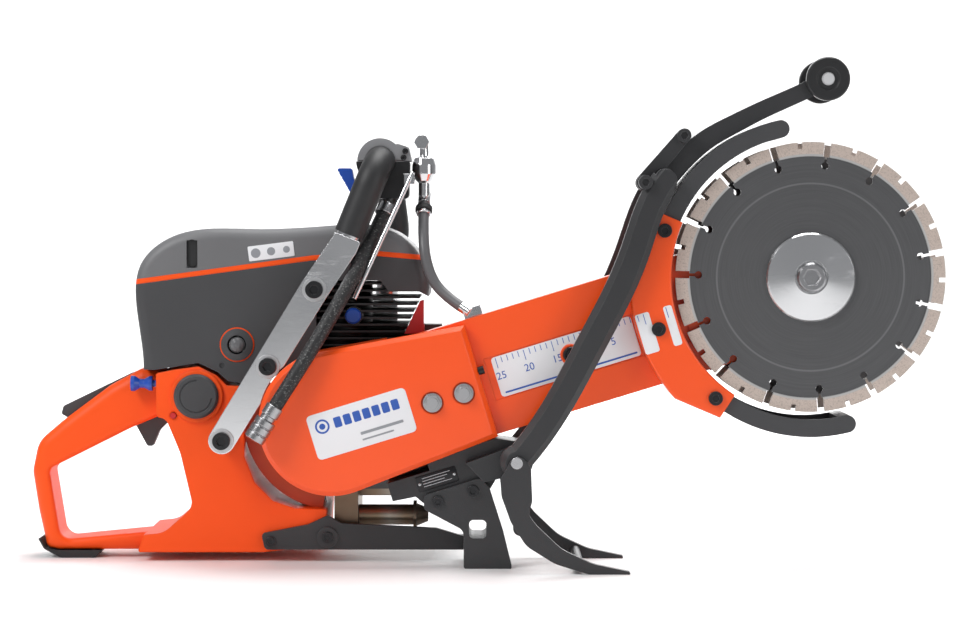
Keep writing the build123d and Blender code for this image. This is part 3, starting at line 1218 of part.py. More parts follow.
def valve_clamp():
    near, far = VALVE_Y
    half = Pos(VALVE_X, VALVE_Z) * (Circle(20) - Circle(GRIP_R + 0.1))
    half += outline([(-72, 348), (-59, 348), (-62, 362), (-74, 366)], 2)
    half -= Pos(VALVE_X, VALVE_Z) * Circle(GRIP_R + 0.1)
    half -= Polygon((-115, 349.4), (-87, 352.4), (-56, 349.4), (-56, 300), (-115, 300), align=None)
    body = slab(half, near - 1, far + 1)
    for x, z in CLAMP_SCREWS:
        body -= disc(x, z, 1.5, near - 2, near + 4)
    return body


CLAMP_SCREWS = ((-65, 358.5), (-66.5, 353))


def valve_lever():
    """Ridged blue paddle on the spool's end."""
    hub = Plane(origin=(-111.5, SPOOL_Y, SPOOL_Z), z_dir=(1, 0, 0))
    body = hub * Cylinder(6, 5) + hub * Pos(0, 0, 11) * Cylinder(4, 20)
    paddle = outline([(-109.2, 322), (-113, 322), (-124.5, 342), (-124, 344), (-112, 344), (-109.2, 330)],
                     [1, 1, 1.5, 1.5, 2, 1])
    body += slab(paddle, SPOOL_Y - 8, SPOOL_Y + 8)
    for k in range(4):
        z = 343 - 4.4 * k
        body -= block((-130, -123 + 2.4 * k), (SPOOL_Y - 9, SPOOL_Y + 9), (z - 3.2, z - 2))
    return body


def outlet_fitting():
    """Chromed elbow with a hexagon plug on top and a nipple below."""
    down = Plane(origin=(OUTLET_ROUTE[0][0], SPOOL_Y, 345), z_dir=(0, 0, -1))
    body = turned_on(down, [(0, -22), (4, -22), (4, -10), (8.5, -8), (10.5, -2), (10.5, 6), (7, 12), (5, 14),
                            (5, 25), (0, 25)])
    first_run = Vector(*OUTLET_ROUTE[1]) - Vector(*OUTLET_ROUTE[0])
    body += Plane(origin=OUTLET_ROUTE[0], z_dir=first_run) * Pos(0, 0, -5.5) * Cylinder(5.6, 11)
    body += Pos(-51, SPOOL_Y, 367) * Rot(90, 0, 0) * extrude(RegularPolygon(6.8, 6), amount=5, both=True)
    return body


def clamp_screws():
    body = Part()
    for x, z in CLAMP_SCREWS:
        body += cap_screw(x, z, VALVE_Y[0] - 1.05, 2.6, 2.5, 1.4, 3)
    return body


def hose_stay():
    """Thin rod that keeps the inlet hose off the cylinder."""
    top, foot = Vector(-58, -62, 340), Vector(-108, -74, 231)
    rod = Plane(origin=(top + foot) * 0.5, z_dir=top - foot)
    body = rod * Cylinder(2, (top - foot).length)
    return body + Pos(-61, -53.1, 334) * Box(9, 21.8, 9)


def coupling():
    """Quick coupling on the hose's free end: ferrule and ribbed sleeve, open to the hose."""
    end, before = Vector(*INLET_ROUTE[-1]), Vector(*INLET_ROUTE[-2])
    along = Plane(origin=end, z_dir=end - before)
    outside = [(7.6, 0), (7.6, 9), (6.6, 10), (6.6, 13), (9, 14), (9, 19), (8, 20), (9, 21), (9, 26), (8, 27), (9, 28),
               (9, 33), (7, COUPLING_LENGTH)]
    profile = [(COUPLING_BORE_R, 0)] + outside + [(COUPLING_BORE_R, COUPLING_LENGTH)]
    return turned_on(along, profile)


def arm_nipple():
    """Fitting on the arm's upper edge that feeds water to the blades."""
    end, before = Vector(*OUTLET_ROUTE[-1]), Vector(*OUTLET_ROUTE[-2])
    along = Plane(origin=end, z_dir=end - before)
    top = bar_point(*NIPPLE_AT)
    body = Pos(top[0], BAR_Y, top[1]) * Rot(0, -BAR_ANGLE, 0) * Pos(0, 0, 4.2) * Box(16, 12, 8)
    return body + along * Pos(0, 0, 5) * Cylinder(4.6, 10)


NIPPLE_AT = (143, BAR_HALF_WIDTH)
inlet_radii = turn_radii(INLET_ROUTE)
outlet_radii = turn_radii(OUTLET_ROUTE)
print("inlet hose bend radii", [round(r, 1) for r in inlet_radii])
print("outlet hose bend radii", [round(r, 1) for r in outlet_radii])
add("water_valve", group(valve_body(), valve_clamp()))
add("valve_lever", valve_lever())
add("inlet_hose", pipe(INLET_ROUTE, inlet_radii, HOSE_R))
add("outlet_hose", pipe(OUTLET_ROUTE, outlet_radii, FEED_HOSE_R))
add("hose_coupling", coupling())
add("hose_fittings", group(outlet_fitting(), arm_nipple(), hose_stay()))


# ------------------------------------------------------------------ small screws
def body_screws():
    body = Part()
    for x, z in STAND_SCREWS:
        body += cap_screw(x, z, STAND_NEAR - 0.05, 5, 3, 3, 12)
    body += cap_screw(-183, 18, TANK_NEAR_Y - 5.05, 4.5, 2.5, 2.5, 4)
    body += cap_screw(-133, 22, TANK_NEAR_Y - 8.05, 5, 2, 2.5, 4)
    return body


add("screws", group(body_screws(), arm_studs(), guard_screws(), bracket_screws(), clamp_screws(),
                    tension_screw()))
add("vibration_mounts", group(vibration_mounts(), bracket_posts()))


# ------------------------------------------------------------------ write the files
def main():
    os.makedirs("parts", exist_ok=True)
    for name, shape in NODES.items():
        export_step(shape, f"parts/{name}.step")


main()
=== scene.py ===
"""Looks of a petrol-driven twin-blade rescue saw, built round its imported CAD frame.

Lengths are in metres. X points forward along the saw, Y to its far side and Z up. The cutting arm has its own
coordinates: u along the arm from the drive axis, v square to it, both in its own sloping plane.
"""
import math

import bmesh
import bpy
from bpy.props import FloatProperty, FloatVectorProperty, PointerProperty
from mathutils import Matrix, Vector


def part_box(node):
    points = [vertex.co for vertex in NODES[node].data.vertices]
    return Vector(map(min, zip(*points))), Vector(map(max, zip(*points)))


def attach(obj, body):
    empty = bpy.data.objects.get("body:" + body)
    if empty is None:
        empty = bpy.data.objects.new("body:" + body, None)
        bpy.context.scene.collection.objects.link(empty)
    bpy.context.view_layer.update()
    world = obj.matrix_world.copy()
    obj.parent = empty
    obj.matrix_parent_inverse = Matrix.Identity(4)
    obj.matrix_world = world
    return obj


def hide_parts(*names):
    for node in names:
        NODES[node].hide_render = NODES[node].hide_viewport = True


bl_info = {
    "name": "Rescue Saw Looks",
    "version": (1, 0, 0),
    "blender": (4, 5, 0),
    "location": "3D View > Sidebar > Rescue Saw",
    "description": "Materials, hoses, labels and small parts for a twin-blade rescue saw",
    "category": "Object",
}

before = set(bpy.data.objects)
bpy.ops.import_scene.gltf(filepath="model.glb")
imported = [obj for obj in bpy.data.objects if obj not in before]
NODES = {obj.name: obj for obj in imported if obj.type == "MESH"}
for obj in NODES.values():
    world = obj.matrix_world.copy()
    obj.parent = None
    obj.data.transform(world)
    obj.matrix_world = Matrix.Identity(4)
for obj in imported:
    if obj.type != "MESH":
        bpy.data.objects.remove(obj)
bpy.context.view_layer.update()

# ------------------------------------------------------------------ places taken over from the CAD model
ARM_ANGLE = math.radians(17)
DRIVE = Vector((-0.127, 0, 0.125))
ARM_Y = -0.072
ARM_FACE_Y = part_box("arm_plate")[0].y
COVER_FACE_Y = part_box("belt_cover")[0].y
BLADE_AXIS = DRIVE + Vector((math.cos(ARM_ANGLE), 0, math.sin(ARM_ANGLE))) * 0.427
BLADE_R = 0.115
COVERS_FACE_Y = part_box("top_cover")[0].y
GUARD_FACE_PLATE_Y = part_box("blade_guard")[0].y
ARM_STUDS = ((0.088, -0.008), (0.116, -0.008))
BRACKET_BOLTS = ((-0.222, 0.109), (-0.182, 0.173), (-0.142, 0.239))
ROLLER_AXIS = (0.295, 0.418)
CRADLE_Y = -0.026

INLET_ROUTE = [(-80, -38, 313), (-96, -60, 276), (-118, -91, 232), (-144, -109, 186), (-173, -112, 141)]
OUTLET_ROUTE = [(-49, -29, 313), (-50, -52, 283), (-45, -58, 254), (-33, -63, 235), (-16, -72, 224)]


def arm_plane(y):
    """Local x along the arm, y square to it, z out of its near face at depth y."""
    c, s = math.cos(ARM_ANGLE), math.sin(ARM_ANGLE)
    return Matrix(((c, -s, 0, DRIVE.x), (0, 0, -1, y), (s, c, 0, DRIVE.z), (0, 0, 0, 1)))


RATING_PLATE_FRAME = arm_plane(ARM_FACE_Y + 0.00025) @ Matrix.Translation((0.072, -0.0728, 0))


def arm_point(u, v):
    """X and Z of a point given along and across the arm."""
    c, s = math.cos(ARM_ANGLE), math.sin(ARM_ANGLE)
    return DRIVE.x + u * c - v * s, DRIVE.z + u * s + v * c


# ------------------------------------------------------------------ settings
class SawSizes(bpy.types.PropertyGroup):
    inlet_hose: FloatProperty(name="Inlet hose", description="Outer diameter of the braided hose",
                              default=0.0125, min=0.006, max=0.02, unit="LENGTH")
    outlet_hose: FloatProperty(name="Outlet hose", description="Outer diameter of the hose to the arm",
                               default=0.0095, min=0.005, max=0.015, unit="LENGTH")
    edge_round: FloatProperty(name="Edge rounding", description="Radius that light sees on moulded and cast edges",
                              default=0.0009, min=0.0, max=0.004, unit="LENGTH")
    print_height: FloatProperty(name="Print height", description="Thickness of printed marks on the plates",
                                default=0.0001, min=0.00005, max=0.0005, unit="LENGTH")


class SawColours(bpy.types.PropertyGroup):
    orange: FloatVectorProperty(name="Orange", description="Colour of tank, arm and guard", subtype="COLOR",
                                default=(0.95, 0.088, 0.006), min=0, max=1)
    cover: FloatVectorProperty(name="Top cover", description="Colour of the upper engine cover", subtype="COLOR",
                               default=(0.15, 0.15, 0.155), min=0, max=1)
    dark: FloatVectorProperty(name="Dark mouldings", description="Colour of side cover, trigger and caps",
                              subtype="COLOR", default=(0.05, 0.05, 0.053), min=0, max=1)
    casting: FloatVectorProperty(name="Black castings", description="Colour of fork, stands and carrier",
                                 subtype="COLOR", default=(0.030, 0.030, 0.032), min=0, max=1)
    blue: FloatVectorProperty(name="Controls", description="Colour of lever, choke and decompression button",
                              subtype="COLOR", default=(0.010, 0.07, 0.42), min=0, max=1)


def sizes():
    return bpy.context.scene.saw_sizes


def colours():
    return bpy.context.scene.saw_colours


# ------------------------------------------------------------------ node groups
def new_group(name, inputs, outputs):
    tree = bpy.data.node_groups.new(name, "ShaderNodeTree")
    for label, default in inputs:
        socket = tree.interface.new_socket(label, in_out="INPUT", socket_type="NodeSocketFloat")
        socket.default_value = default
    for label in outputs:
        tree.interface.new_socket(label, in_out="OUTPUT", socket_type="NodeSocketFloat")
    return tree, tree.nodes.new("NodeGroupInput"), tree.nodes.new("NodeGroupOutput")


def maths(tree, kind, a, b=None, clamp=False):
    """A Math node; a and b are sockets or numbers."""
    node = tree.nodes.new("ShaderNodeMath")
    node.operation = kind
    node.use_clamp = clamp
    for slot, value in zip(node.inputs, (a, b)):
        if value is None:
            continue
        if isinstance(value, (int, float)):
            slot.default_value = value
        else:
            tree.links.new(value, slot)
    return node.outputs[0]


def noise(tree, vector, scale, detail=3.0, rough=0.55):
    node = tree.nodes.new("ShaderNodeTexNoise")
    node.inputs["Detail"].default_value = detail
    node.inputs["Roughness"].default_value = rough
    if isinstance(scale, (int, float)):
        node.inputs["Scale"].default_value = scale
    else:
        tree.links.new(scale, node.inputs["Scale"])
    tree.links.new(vector, node.inputs["Vector"])
    return node.outputs["Fac"]


def edge_wear_and_highlight_group():
    """Mask of convex edges, broken up by noise, where paint rubs thin and plastic turns pale, and where the pale edges
    also serve as painted highlight along the bevels.
    """
    tree, given, result = new_group("Edge Wear and Highlight", [("Width", 0.001), ("Breakup", 60.0)], ["Edge"])
    bevel = tree.nodes.new("ShaderNodeBevel")
    bevel.samples = 4
    tree.links.new(given.outputs["Width"], bevel.inputs["Radius"])
    geometry = tree.nodes.new("ShaderNodeNewGeometry")
    dot = tree.nodes.new("ShaderNodeVectorMath")
    dot.operation = "DOT_PRODUCT"
    tree.links.new(bevel.outputs[0], dot.inputs[0])
    tree.links.new(geometry.outputs["Normal"], dot.inputs[1])
    turned = maths(tree, "SUBTRACT", 1.0, dot.outputs["Value"])
    edge = maths(tree, "MULTIPLY", turned, 5.0, clamp=True)
    coords = tree.nodes.new("ShaderNodeTexCoord")
    patches = noise(tree, coords.outputs["Object"], given.outputs["Breakup"], 4)
    worn = maths(tree, "MULTIPLY", maths(tree, "SUBTRACT", patches, 0.3), 2.2, clamp=True)
    tree.links.new(maths(tree, "MULTIPLY", edge, worn), result.inputs["Edge"])
    return tree


def grain_group():
    """Fine height for the bump, a soft blotch for the colour and light scuffs for the roughness."""
    tree, given, result = new_group("Surface Grain", [("Grain", 1500.0), ("Blotch", 14.0)],
                                    ["Height", "Blotch", "Scuff"])
    coords = tree.nodes.new("ShaderNodeTexCoord").outputs["Object"]
    tree.links.new(noise(tree, coords, given.outputs["Grain"], 2), result.inputs["Height"])
    tree.links.new(noise(tree, coords, given.outputs["Blotch"], 5), result.inputs["Blotch"])
    stretched = tree.nodes.new("ShaderNodeMapping")
    stretched.inputs["Rotation"].default_value = (0.3, 0.5, 0.2)
    stretched.inputs["Scale"].default_value = (30, 240, 160)
    tree.links.new(coords, stretched.inputs["Vector"])
    scuff = noise(tree, stretched.outputs[0], 1.0, 6, 0.7)
    tree.links.new(maths(tree, "MULTIPLY", maths(tree, "SUBTRACT", scuff, 0.56), 5.0, clamp=True),
                   result.inputs["Scuff"])
    return tree


def from_axis_group():
    """Distance from an axis along Y, given by its X and Z, and the angle round it."""
    tree, given, result = new_group("Round Axis", [("X", 0.0), ("Z", 0.0)], ["Radius", "Angle"])
    coords = tree.nodes.new("ShaderNodeTexCoord").outputs["Object"]
    parts = tree.nodes.new("ShaderNodeSeparateXYZ")
    tree.links.new(coords, parts.inputs[0])
    x = maths(tree, "SUBTRACT", parts.outputs["X"], given.outputs["X"])
    z = maths(tree, "SUBTRACT", parts.outputs["Z"], given.outputs["Z"])
    squares = maths(tree, "ADD", maths(tree, "MULTIPLY", x, x), maths(tree, "MULTIPLY", z, z))
    tree.links.new(maths(tree, "SQRT", squares), result.inputs["Radius"])
    tree.links.new(maths(tree, "ARCTAN2", z, x), result.inputs["Angle"])
    return tree


def group_node(tree, name, **values):
    node = tree.nodes.new("ShaderNodeGroup")
    node.node_tree = bpy.data.node_groups[name]
    for label, value in values.items():
        node.inputs[label].default_value = value
    return node


def mixed(tree, amount, a, b):
    """A colour mix; amount is a socket, a and b are sockets or colours."""
    node = tree.nodes.new("ShaderNodeMix")
    node.data_type = "RGBA"
    tree.links.new(amount, node.inputs[0])
    for slot, value in ((node.inputs[6], a), (node.inputs[7], b)):
        if isinstance(value, (tuple, list)):
            slot.default_value = (*value[:3], 1)
        else:
            tree.links.new(value, slot)
    return node.outputs[2]


def shade(colour, factor):
    return tuple(min(1.0, c * factor) for c in colour)


def finish(name, colour, rough, metal=0.0, grain=1500.0, bump=0.12, bump_size=0.0004, edge=1.6, edge_width=0.001,
           blotch=0.12, scuff=0.08, coat=0.0, round_edges=1.0, gloss=0.5, paint=None):
    """The common finish: blotchy colour, grain bump, pale edges that are partly wear and partly painted highlight, and
    scuffed gloss. paint may recolour it.
    """
    material = bpy.data.materials.new(name)
    material.use_nodes = True
    tree = material.node_tree
    shader = tree.nodes["Principled BSDF"]
    shader.inputs["Metallic"].default_value = metal
    shader.inputs["Coat Weight"].default_value = coat
    shader.inputs["Specular IOR Level"].default_value = gloss
    shader.inputs["Coat Roughness"].default_value = 0.12
    grains = group_node(tree, "Surface Grain", Grain=grain)
    wear_and_highlight = group_node(tree, "Edge Wear and Highlight", Width=edge_width)
    body = mixed(tree, grains.outputs["Blotch"], shade(colour, 1 - blotch), shade(colour, 1 + blotch))
    if paint:
        body = paint(tree, body)
    # pale edges: partly rubbed paint, partly painted highlight standing in for light on the rounded edges
    pale = tuple(min(1.0, c * edge + 0.02 * (edge - 1)) for c in colour)
    tree.links.new(mixed(tree, wear_and_highlight.outputs["Edge"], body, pale), shader.inputs["Base Color"])
    scuffed = maths(tree, "MULTIPLY", grains.outputs["Scuff"], scuff)
    softer = maths(tree, "MULTIPLY", maths(tree, "SUBTRACT", grains.outputs["Blotch"], 0.5), 0.12)
    rough_value = maths(tree, "ADD", maths(tree, "ADD", scuffed, softer), rough, clamp=True)
    tree.links.new(rough_value, shader.inputs["Roughness"])
    bumped = tree.nodes.new("ShaderNodeBump")
    bumped.inputs["Strength"].default_value = bump
    bumped.inputs["Distance"].default_value = bump_size
    tree.links.new(grains.outputs["Height"], bumped.inputs["Height"])
    if round_edges:
        bevel = tree.nodes.new("ShaderNodeBevel")
        bevel.samples = 4
        bevel.inputs["Radius"].default_value = sizes().edge_round * round_edges
        tree.links.new(bevel.outputs[0], bumped.inputs["Normal"])
    tree.links.new(bumped.outputs[0], shader.inputs["Normal"])
    return material


def ramp(tree, value, stops):
    """A colour ramp with straight stops of (place, colour)."""
    node = tree.nodes.new("ShaderNodeValToRGB")
    node.color_ramp.interpolation = "LINEAR"
    items = node.color_ramp.elements
    while len(items) < len(stops):
        items.new(0.5)
    for item, (place, colour) in zip(items, stops):
        item.position = place
        item.color = (*colour, 1)
    tree.links.new(value, node.inputs[0])
    return node.outputs[0]


def blade_paint(tree, body):
    """Dark ground core, a bright joint line, and pale gritty diamond segments at the rim."""
    place = group_node(tree, "Round Axis", X=BLADE_AXIS.x, Z=BLADE_AXIS.z)
    share = maths(tree, "DIVIDE", place.outputs["Radius"], BLADE_R)
    core, bright, grit = (0.075, 0.075, 0.078), (0.55, 0.54, 0.53), (0.60, 0.50, 0.44)
    stops = [(0.0, core), (0.685, core), (0.690, (0.16, 0.16, 0.165)), (0.697, (0.16, 0.16, 0.165)),
             (0.702, core), (0.892, core), (0.896, bright), (0.908, bright), (0.912, grit), (1.0, grit)]
    rings = ramp(tree, share, stops)
    joined = tree.nodes.new("ShaderNodeCombineXYZ")
    tree.links.new(maths(tree, "MULTIPLY", place.outputs["Radius"], 900.0), joined.inputs["X"])
    tree.links.new(maths(tree, "MULTIPLY", place.outputs["Angle"], 1.5), joined.inputs["Y"])
    turned = noise(tree, joined.outputs[0], 1.0, 4)
    coords = tree.nodes.new("ShaderNodeTexCoord").outputs["Object"]
    speck = noise(tree, coords, 900.0, 3, 0.7)
    streaked = mixed(tree, maths(tree, "MULTIPLY", turned, 0.35), rings, (0.20, 0.20, 0.205))
    at_rim = maths(tree, "GREATER_THAN", share, 0.912)
    specks = maths(tree, "MULTIPLY", maths(tree, "MULTIPLY", maths(tree, "SUBTRACT", speck, 0.5), 3.0, clamp=True),
                   at_rim)
    segment = mixed(tree, at_rim, streaked, rings)
    return mixed(tree, specks, segment, (0.25, 0.20, 0.17))


def near_places(tree, places, inner, outer):
    """1 where the distance from any of the (x, z) places lies between inner and outer."""
    found = None
    for x, z in places:
        radius = group_node(tree, "Round Axis", X=x, Z=z).outputs["Radius"]
        inside = maths(tree, "MULTIPLY", maths(tree, "LESS_THAN", radius, outer),
                       maths(tree, "GREATER_THAN", radius, inner))
        found = inside if found is None else maths(tree, "MAXIMUM", found, inside)
    return found


def screw_paint(tree, body):
    """Zinc on the arm's flanged nuts and on the washers under the bracket's bolts, black oxide on the rest."""
    zinc = (0.46, 0.46, 0.47)
    with_nuts = mixed(tree, near_places(tree, [arm_point(*stud) for stud in ARM_STUDS], -1.0, 0.0095), body, zinc)
    return mixed(tree, near_places(tree, BRACKET_BOLTS, 0.0076, 0.012), with_nuts, (0.62, 0.62, 0.63))


def roller_paint(tree, body):
    """Bright screw in the middle of the guard's rollers."""
    middle = near_places(tree, [ROLLER_AXIS], -1.0, 0.0055)
    return mixed(tree, middle, body, (0.55, 0.55, 0.56))


def valve_paint(tree, body):
    """Pale grey upper clamp half over the dark body."""
    coords = tree.nodes.new("ShaderNodeTexCoord").outputs["Object"]
    parts = tree.nodes.new("ShaderNodeSeparateXYZ")
    tree.links.new(coords, parts.inputs[0])
    above = maths(tree, "GREATER_THAN", parts.outputs["Z"], 0.3495)
    return mixed(tree, above, body, (0.30, 0.30, 0.31))


def muffler_paint(tree, body):
    """Heat tint: straw and brown bands on the pipe, bluish grey on the box."""
    coords = tree.nodes.new("ShaderNodeTexCoord").outputs["Object"]
    parts = tree.nodes.new("ShaderNodeSeparateXYZ")
    tree.links.new(coords, parts.inputs[0])
    along = maths(tree, "DIVIDE", maths(tree, "ADD", parts.outputs["X"], 0.11), 0.065, clamp=True)
    wander = maths(tree, "ADD", along, maths(tree, "MULTIPLY", noise(tree, coords, 40.0), 0.15))
    stops = [(0.0, (0.16, 0.11, 0.075)), (0.35, (0.28, 0.21, 0.14)), (0.55, (0.42, 0.38, 0.32)),
             (0.75, (0.26, 0.19, 0.13)), (1.0, (0.12, 0.095, 0.075))]
    return mixed(tree, maths(tree, "LESS_THAN", parts.outputs["Z"], 0.06), body, ramp(tree, wander, stops))


def braid_paint(tree, body):
    """Pale flecks of a woven jacket, in two crossing directions."""
    coords = tree.nodes.new("ShaderNodeTexCoord").outputs["Object"]
    flecks = None
    for turn in (0.75, -0.75):
        mapping = tree.nodes.new("ShaderNodeMapping")
        mapping.inputs["Rotation"].default_value = (0.0, turn, 0.0)
        mapping.inputs["Scale"].default_value = (420, 700, 1100)
        tree.links.new(coords, mapping.inputs["Vector"])
        cells = tree.nodes.new("ShaderNodeTexVoronoi")
        cells.inputs["Scale"].default_value = 1.0
        tree.links.new(mapping.outputs[0], cells.inputs["Vector"])
        fleck = maths(tree, "LESS_THAN", cells.outputs["Distance"], 0.28)
        flecks = fleck if flecks is None else maths(tree, "MAXIMUM", flecks, fleck)
    picked = maths(tree, "GREATER_THAN", noise(tree, coords, 500.0, 1), 0.54)
    return mixed(tree, maths(tree, "MULTIPLY", maths(tree, "MULTIPLY", flecks, picked), 0.45), body, (0.36, 0.36, 0.35))


def build_materials():
    c = colours()
    orange, cover, dark, cast, blue = (tuple(v) for v in (c.orange, c.cover, c.dark, c.casting, c.blue))
    edge_wear_and_highlight_group()
    grain_group()
    from_axis_group()
    return {
        "orange_plastic": finish("orange moulded plastic", orange, 0.44, bump=0.06, edge=1.1, blotch=0.05, gloss=0.28,
                                 round_edges=3.0),
        "orange_paint": finish("orange powder coat", orange, 0.30, grain=420, bump=0.06, edge=1.3, blotch=0.04,
                               coat=0.2, round_edges=1.6),
        # orange darkened to 0.55 as painted shade, for walls and recesses that the light doesn't reach
        "orange_painted_shade": finish("orange painted recess shade", shade(orange, 0.55), 0.45, bump=0.06, edge=1.0),
        "cover_grey": finish("grey moulded cover", cover, 0.46, grain=1800, bump=0.22, edge=1.5),
        "cover_dark": finish("dark moulded plastic", dark, 0.45, grain=1800, bump=0.2, edge=1.7),
        # edge=2.6 and edge=5 lighten bevels and fin edges, partly wear and partly painted highlight
        "black_cast": finish("black painted casting", cast, 0.40, grain=700, bump=0.25, edge=2.6, edge_width=0.0012),
        "fin_black": finish("black cylinder paint", (0.016, 0.016, 0.017), 0.42, grain=700, bump=0.2, edge=5,
                            edge_width=0.0007),
        "cast_grey": finish("as cast aluminium", (0.22, 0.22, 0.23), 0.42, metal=0.8, grain=600, bump=0.3),
        "dark_casting": finish("dark crankcase casting", (0.09, 0.09, 0.095), 0.45, metal=0.5, grain=600, bump=0.3,
                               edge=1.8),
        "polished": finish("polished aluminium", (0.78, 0.78, 0.79), 0.16, metal=1.0, grain=250, bump=0.03, edge=1.1,
                           blotch=0.05, scuff=0.2),
        "blade_steel": finish("diamond blade", (0.075, 0.075, 0.078), 0.33, metal=0.25, grain=900, bump=0.1, edge=1.6,
                              edge_width=0.0006, paint=blade_paint, round_edges=0),
        "bright_steel": finish("machined steel", (0.50, 0.50, 0.51), 0.22, metal=1.0, grain=350, bump=0.06, edge=1.2),
        "screw_steel": finish("black oxide and zinc screws", (0.035, 0.035, 0.037), 0.30, metal=0.75, grain=900,
                              bump=0.06, edge=3.0, edge_width=0.0006, paint=screw_paint),
        "roller_black": finish("black guard roller", (0.020, 0.020, 0.021), 0.34, grain=900, bump=0.1, edge=2.2,
                               paint=roller_paint),
        "valve_casting": finish("valve casting", (0.022, 0.022, 0.023), 0.36, metal=0.3, grain=700, bump=0.15,
                                edge=2.5, paint=valve_paint),
        "muffler_steel": finish("heat tinted steel", (0.10, 0.10, 0.10), 0.38, metal=0.85, grain=300, bump=0.12,
                                paint=muffler_paint),
        "chrome": finish("chrome plating", (0.72, 0.72, 0.73), 0.09, metal=1.0, grain=200, bump=0.02, edge=1.1,
                         blotch=0.03, scuff=0.12),
        "nickel": finish("dull plated brass", (0.42, 0.42, 0.43), 0.26, metal=1.0, grain=500, bump=0.05, edge=1.3),
        "rubber": finish("black rubber", (0.016, 0.016, 0.017), 0.50, grain=1500, bump=0.3, edge=1.8, scuff=0.15),
        "braid": finish("braided hose jacket", (0.012, 0.012, 0.013), 0.48, grain=1900, bump=0.5, paint=braid_paint,
                        round_edges=0),
        "grey_hose": finish("grey hose", (0.11, 0.11, 0.115), 0.38, grain=900, bump=0.1, round_edges=0),
        "filter_foam": finish("filter paper and frame", (0.12, 0.12, 0.12), 0.9, grain=400, bump=0.6),
        "blue_plastic": finish("blue plastic", blue, 0.30, bump=0.06, edge=1.5, blotch=0.06, coat=0.2),
        "red_plastic": finish("red plastic", (0.60, 0.012, 0.012), 0.32, bump=0.06, edge=1.4, coat=0.2),
        "label_white": finish("white printed film", (0.80, 0.80, 0.82), 0.34, grain=300, bump=0.03, edge=1.0,
                              blotch=0.02, round_edges=0),
        "label_black": finish("black anodised plate", (0.014, 0.014, 0.016), 0.32, metal=0.3, grain=800, bump=0.05),
        "ink_blue": finish("blue ink", (0.03, 0.10, 0.42), 0.4, bump=0.02, round_edges=0),
        "ink_grey": finish("grey ink", (0.28, 0.29, 0.31), 0.4, bump=0.02, round_edges=0),
        "ink_pale": finish("pale engraving", (0.50, 0.50, 0.52), 0.4, metal=0.4, bump=0.02, round_edges=0),
        "clear_bulb": bulb_material(),
    }


def bulb_material():
    """Clear flexible dome of the purge pump."""
    material = finish("clear purge dome", (0.30, 0.30, 0.31), 0.10, bump=0.02, grain=200, blotch=0.03, edge=1.0)
    shader = material.node_tree.nodes["Principled BSDF"]
    shader.inputs["Transmission Weight"].default_value = 0.55
    shader.inputs["IOR"].default_value = 1.45
    return material


FINISH = {}
NODE_FINISH = {
    "orange_plastic": ["fuel_tank_handle", "cover_trim"],
    "orange_paint": ["belt_cover", "arm_housing", "arm_plate", "blade_guard"],
    "cover_grey": ["top_cover"],
    "cover_dark": ["side_cover", "fuel_cap", "throttle_trigger", "throttle_lockout", "splash_guards",
                   "starter_handle", "cord_pulley", "purge_ring"],
    "black_cast": ["guard_fork", "tip_arm", "front_skid", "mid_stand", "lower_bracket", "bar_carrier"],
    "fin_black": ["cylinder_block"],
    "cast_grey": ["starter_housing", "carburettor", "flywheel"],
    "dark_casting": ["crankcase"],
    "polished": ["handle_brackets", "blade_flanges"],
    "blade_steel": ["near_blade", "far_blade"],
    "bright_steel": ["blade_spindle", "driven_pulley", "spindle_bearings", "pivot_pin", "crankshaft",
                     "piston_and_rod", "clutch_hub", "clutch_drum", "handle_tube"],
    "screw_steel": ["screws", "spark_plug"],
    "roller_black": ["guard_rollers"],
    "valve_casting": ["water_valve"],
    "muffler_steel": ["muffler"],
    "chrome": ["hose_fittings"],
    "nickel": ["hose_coupling"],
    "rubber": ["rear_pad", "handle_grip", "vibration_mounts", "drive_belt"],
    "filter_foam": ["air_filter"],
    "blue_plastic": ["choke_knob", "valve_lever", "relief_button"],
    "red_plastic": ["stop_button", "heat_shield"],
    "clear_bulb": ["purge_bulb"],
}


# ------------------------------------------------------------------ shapes
def side_plane(x, z, y, turn=0.0):
    """Local x and y in the side view from (x, z), turned by some degrees, z towards the near side."""
    c, s = math.cos(math.radians(turn)), math.sin(math.radians(turn))
    return Matrix(((c, -s, 0, x), (0, 0, -1, y), (s, c, 0, z), (0, 0, 0, 1)))


def plane_along(origin, direction):
    turn = Vector(direction).to_track_quat("Z", "Y").to_matrix().to_4x4()
    return Matrix.Translation(origin) @ turn


def plate(x_low, x_high, y_low, y_high, corner, thick, rim=0.0):
    """A rounded plate lying on z = 0, with its upper rim eased."""
    bm = bmesh.new()
    bmesh.ops.create_grid(bm, x_segments=1, y_segments=1, size=0.5)
    width, height = x_high - x_low, y_high - y_low
    bmesh.ops.scale(bm, vec=(width, height, 1), verts=bm.verts)
    bmesh.ops.translate(bm, vec=((x_low + x_high) / 2, (y_low + y_high) / 2, 0), verts=bm.verts)
    if corner:
        bmesh.ops.bevel(bm, geom=bm.verts[:], offset=corner, segments=5, profile=0.5, affect="VERTICES", material=-1)
    thicken(bm, thick)
    ease_top(bm, rim)
    return bm


def thicken(bm, thick):
    faces = bm.faces[:]
    raised = bmesh.ops.extrude_face_region(bm, geom=faces, use_keep_orig=True)
    top = [v for v in raised["geom"] if isinstance(v, bmesh.types.BMVert)]
    bmesh.ops.translate(bm, vec=(0, 0, thick), verts=top)
    bmesh.ops.recalc_face_normals(bm, faces=bm.faces)


